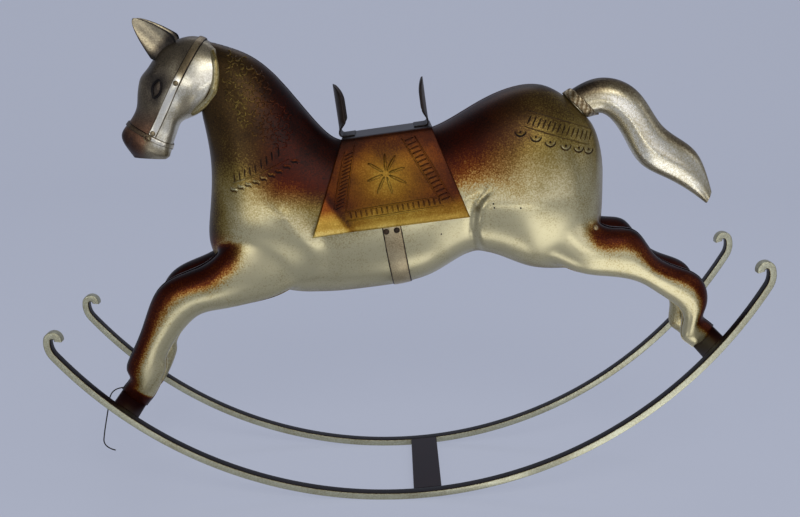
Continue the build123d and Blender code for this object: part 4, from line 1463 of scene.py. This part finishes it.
    def rump(self) -> None:
        """A hatched band with a row of scallops and dots under it, round the rump. Hatching, borders and scallops
        carry painted shade, and a light ring inside each scallop is its painted highlight.
        """
        share = np.linspace(0.0, 1.0, 14)
        top = np.stack([89 + 39 * share, 242.2 - 11.2 * share], -1)
        border = np.concatenate([self.lines(((87.7, 244.7, 114.8, 236.9), (114.8, 236.9, 129, 232.5)), 20),
                                 self.lines(((84.6, 235.8, 107.5, 228.8), (107.5, 228.8, 126, 223.6)), 20)])
        self.body_beads("rump_hatching", self.strokes(top, (0.0, 0.0), (-2.4, -5.2)), 0.65, 0.28)
        self.body_beads("rump_borders", border, 0.6, 0.12)
        spots = np.array([(82.2, 233.0), (91.6, 229.9), (100.4, 226.9), (110.1, 224.6), (118.6, 223.0),
                          (125.4, 221.6)])
        turn = np.radians(np.linspace(180, 360, 11))
        scallop = np.stack([np.cos(turn), 0.9 * np.sin(turn)], -1)
        self.body_beads("rump_scallops", spots[:, None] + 3.3 * scallop[None], 0.7, 0.4)
        # A light ring inside each scallop: its painted highlight.
        self.body_beads("rump_crescents", spots[:, None] + 2.3 * scallop[None], 0.7, -0.14)
        put_both("rump_dots", self.body.skin.studs(spots - np.array([0.0, 0.4]), 0.8, 0.55, 0.0, 4, 10), BODY_TIN,
                 0.85, 0.3, "body_sheet")

    def skirt(self) -> None:
        """The star of eight rays, the border lines and the ticks between them; the ticks carry painted shade, the
        star and borders a faint painted highlight.
        """
        centre = np.array([1.1, 207.0])
        ends = np.array([(0.3, 218.7), (6.9, 217.7), (12.7, 210.6), (13.8, 201.4), (5.2, 195.3), (-4.0, 195.3),
                         (-10, 202.4), (-9.8, 213)])
        rays = np.concatenate([centre + 0.16 * (ends - centre), ends], 1)
        self.skirt_beads("saddle_star", self.lines(rays, 7), 1.0, -0.04)
        borders = ((-22.5, 184.2, 34, 193.6), (-22.5, 178.7, 36.5, 188.3), (-18, 223.6, -23.4, 183.4),
                   (-24.1, 219.5, -30.5, 185.5), (10.7, 227.6, 33.6, 192.5), (18.6, 229.2, 42.6, 190.5))
        self.skirt_beads("saddle_borders", self.lines(borders, 24), 0.75, -0.03)
        share = np.linspace(0.04, 0.97, 18)
        low = np.stack([-22.5 + 58 * share, 179.2 + 9.5 * share], -1)
        share = np.linspace(0.03, 0.97, 15)
        left = np.stack([-24.1 - 6.2 * share, 219.0 - 33.5 * share], -1)
        right = np.stack([14.6 + 23.5 * share, 228.4 - 36.8 * share], -1)
        ticks = np.concatenate([self.strokes(low, (0.5, 0.8), (-0.4, 4.6)),
                                self.strokes(left, (0.6, -1.0), (5.6, 1.4)),
                                self.strokes(right, (-2.6, -1.2), (2.6, 1.0))])
        self.skirt_beads("saddle_ticks", ticks, 0.65, 0.14)

    def pinholes(self) -> None:
        """Rust pits where the spray has lifted, on the left side: shallow dark dots."""
        spots = ((66.5, 189.6), (67.1, 187.1), (83.0, 187.1), (35.3, 169.6))
        points, faces = joined(self.body.skin.studs(spots, 0.7, 0.5, -0.25, 4, 10))
        settle(put_mesh("rust_pits", points, faces, BODY_TIN, 1.0, 1.0), "body_sheet")

    def build(self) -> None:
        """All the stamped lines."""
        self.pinholes()
        self.mane()
        self.breast()
        self.rump()
        self.skirt()


@dataclass
class TieWire:
    """The loose end of thin wire that hangs from the front bar."""

    points: Rows = ((-167.6, -19.8, 66.6), (-175.4, -22.6, 67.2), (-177.0, -27.6, 53.6),
                    (-178.9, -31.0, 41.6), (-180.3, -32.0, 30.6), (-172.6, -31.4, 28.2))
    diameter: float = 0.8
    length: float = 52.0

    def build(self) -> None:
        """A NURBS line along the route's control points, as a round wire."""
        curve = bpy.data.curves.new("tie_wire_end", "CURVE")
        curve.dimensions = "3D"
        line = curve.splines.new("NURBS")
        line.points.add(len(self.points) - 1)
        flat = np.ones((len(self.points), 4))
        flat[:, :3] = np.array(self.points) * MM
        line.points.foreach_set("co", flat.ravel())
        line.order_u = 3
        line.use_endpoint_u = True
        line.resolution_u = 12
        curve.bevel_depth = self.diameter / 2 * MM
        curve.bevel_resolution = 3
        curve.use_fill_caps = True
        curve.materials.append(WIRE_STEEL.material())
        wire = bpy.data.objects.new("tie_wire_end", curve)
        bpy.context.scene.collection.objects.link(wire)
        settle(wire, "wire", "tie_wire")


# ---------------------------------------------------------------- stage


@dataclass
class Studio:
    """The camera, a plain pale paper sweep and soft light; in metres."""

    eye: tuple = (0.0037, -0.66075, 0.3056)
    right: tuple = (0.99995, -0.00926, 0.00222)
    up: tuple = (0.0, 0.23293, 0.97249)
    forward: tuple = (0.00952, 0.97245, -0.23292)
    lens: float = 47.25
    sensor: float = 36.0
    wall_start: float = 1.1
    wall_bend: float = 0.6
    wall_height: float = 3.2
    near_climb: tuple = (-6.5, -9.0)
    side_climb: tuple = (5.5, 8.0)
    paper_glow: float = 0.6
    card_height: float = 0.003
    sky: tuple = (0.1, 0.46)  # strength to the left and to the right
    # name, place, aim, size, power, colour
    boxes: tuple = (
        ("key_box", (0.2, -1.0, 0.85), (0.0, 0.0, 0.15), (0.7, 0.55), 4.9, "#fffdf8"),
        ("front_box", (0.5, -1.25, 0.1), (0.05, 0.0, 0.15), (0.9, 0.5), 1.7, "#fbf9ff"),
        ("fill_box", (-0.1, -1.3, 0.3), (0.0, 0.0, 0.15), (0.7, 0.3), 0.8, "#fbf9ff"),
        ("left_card", (-0.6, -1.05, 0.22), (-0.1, 0.0, 0.18), (0.3, 0.5), 1.4, "#fffdf8"),
        ("tail_box", (1.2, -0.4, 0.7), (0.05, 0.0, 0.15), (0.5, 0.6), 0.8, "#f4f6ff"),
        ("back_box", (-0.1, 0.9, 1.4), (0.0, 0.0, 0.15), (0.9, 0.5), 2.0, "#f4f6ff"))
    # name, x, y, size, power
    cards: tuple = (
        ("haunch_card", 0.205, -0.2, (0.16, 0.28), 0.24), ("tail_card", 0.15, -0.58, (0.2, 0.2), 0.6),
        ("loin_card", 0.06, -0.085, (0.07, 0.05), 0.02), ("leg_card", -0.15, -0.185, (0.08, 0.07), 0.032))

    def camera(self) -> None:
        """The photograph's viewpoint."""
        data = bpy.data.cameras.new("camera")
        data.lens, data.sensor_width, data.clip_start = self.lens, self.sensor, 0.01
        view = bpy.data.objects.new("camera", data)
        turn = Matrix((self.right, self.up, [-v for v in self.forward])).transposed()
        view.matrix_world = Matrix.Translation(self.eye) @ turn.to_4x4()
        bpy.context.scene.collection.objects.link(view)
        bpy.context.scene.camera = view

    def sweep(self) -> None:
        """A floor that bends up into a backdrop: a line, a quarter circle and a line, drawn along X.

        Far off on the other three sides it climbs by smoothsteps, so that every side has the same paper
        behind it.
        """
        turn = np.linspace(0.0, math.pi / 2, 24)
        near = np.linspace(self.near_climb[1], self.near_climb[0], 13)
        y = np.concatenate([near, self.wall_start + self.wall_bend * np.sin(turn),
                            [self.wall_start + self.wall_bend]])
        z = np.concatenate([self.wall_height * smoothstep(*self.near_climb, near),
                            self.wall_bend * (1 - np.cos(turn)), [self.wall_height]])
        x = np.linspace(-self.side_climb[1], self.side_climb[1], 65)
        sides = self.wall_height * smoothstep(*self.side_climb, np.abs(x))
        height = np.maximum(sides[:, None], z[None])
        grid = np.stack(np.broadcast_arrays(x[:, None], y[None], height), -1)
        mesh = bpy.data.meshes.new("backdrop")
        mesh.from_pydata(grid.reshape(-1, 3).tolist(), [], grid_faces(*grid.shape[:2]))
        mesh.polygons.foreach_set("use_smooth", np.ones(len(mesh.polygons), bool))
        material = bpy.data.materials.new("pale_lavender_paper")
        material.use_nodes = True
        shader = material.node_tree.nodes["Principled BSDF"]
        shader.inputs["Base Color"].default_value = linear("#b2b6c2")
        shader.inputs["Roughness"].default_value = 0.9
        shader.inputs["Specular IOR Level"].default_value = 0.1
        tree = material.node_tree
        rays = add_node(tree, "ShaderNodeLightPath").outputs
        seen = add_node(tree, "ShaderNodeMath", {"operation": "ADD"},
                        {0: rays["Is Camera Ray"], 1: rays["Is Glossy Ray"]}).outputs[0]
        seen = add_node(tree, "ShaderNodeMath", {"operation": "ADD", "use_clamp": True},
                        {0: seen, 1: rays["Is Transmission Ray"]}).outputs[0]
        seen = add_node(tree, "ShaderNodeMath", {"operation": "MULTIPLY", 1: self.paper_glow},
                        {0: seen}).outputs[0]
        even = add_node(tree, "ShaderNodeEmission", {"Color": linear("#c2c9de")}).outputs[0]
        mixed = add_node(tree, "ShaderNodeMixShader", links={0: seen, 1: shader.outputs[0], 2: even}).outputs[0]
        tree.links.new(mixed, tree.nodes["Material Output"].inputs["Surface"])
        mesh.materials.append(material)
        backdrop = bpy.data.objects.new("backdrop", mesh)
        bpy.context.scene.collection.objects.link(backdrop)

    def lamp(self, name: str, place: tuple, aim: tuple, size: tuple, power: float, code: str) -> None:
        """A rectangular soft box."""
        data = bpy.data.lights.new(name, "AREA")
        data.shape, data.size, data.size_y = "RECTANGLE", size[0], size[1]
        data.energy, data.color = power, linear(code)[:3]
        box = bpy.data.objects.new(name, data)
        box.location = place
        box.visible_camera = False
        box.rotation_euler = (Vector(aim) - Vector(place)).to_track_quat("-Z", "Y").to_euler()
        bpy.context.scene.collection.objects.link(box)

    def lights(self) -> None:
        """Soft boxes over and before the horse, bright cards on the floor, and a sky darker to the left."""
        for box in self.boxes:
            self.lamp(*box)
        for name, x, y, size, power in self.cards:
            self.lamp(name, (x, y, self.card_height), (x, y, 0.5), size, power, "#ffffff")
        world = bpy.data.worlds.new("even_sky")
        world.use_nodes = True
        sky = world.node_tree.nodes["Background"]
        sky.inputs["Color"].default_value = linear("#d6dbec")
        way = add_node(world.node_tree, "ShaderNodeTexCoord").outputs["Generated"]
        east = add_node(world.node_tree, "ShaderNodeSeparateXYZ", links={0: way}).outputs[0]
        strength = add_node(world.node_tree, "ShaderNodeMapRange",
                            {1: -1.0, 2: 1.0, 3: self.sky[0], 4: self.sky[1]}, {0: east}).outputs[0]
        world.node_tree.links.new(strength, sky.inputs["Strength"])
        bpy.context.scene.world = world

    def build(self) -> None:
        """The sweep, the lamps and the view settings."""
        self.sweep()
        self.lights()
        bpy.context.scene.view_settings.view_transform = "Standard"


def main() -> None:
    """Builds the scene in order."""
    logging.basicConfig(level=logging.INFO, format="%(message)s")
    studio = Studio()
    studio.camera()
    TieWire().build()
    rockers = RockerFrame()
    rockers.build()
    body = BodyPressing(rockers)
    body.build()
    Head().build()
    Tail().build()
    saddle = Saddle()
    saddle.build()
    Ornament(body, saddle).build()
    studio.build()


if __name__ == "__main__":
    main()
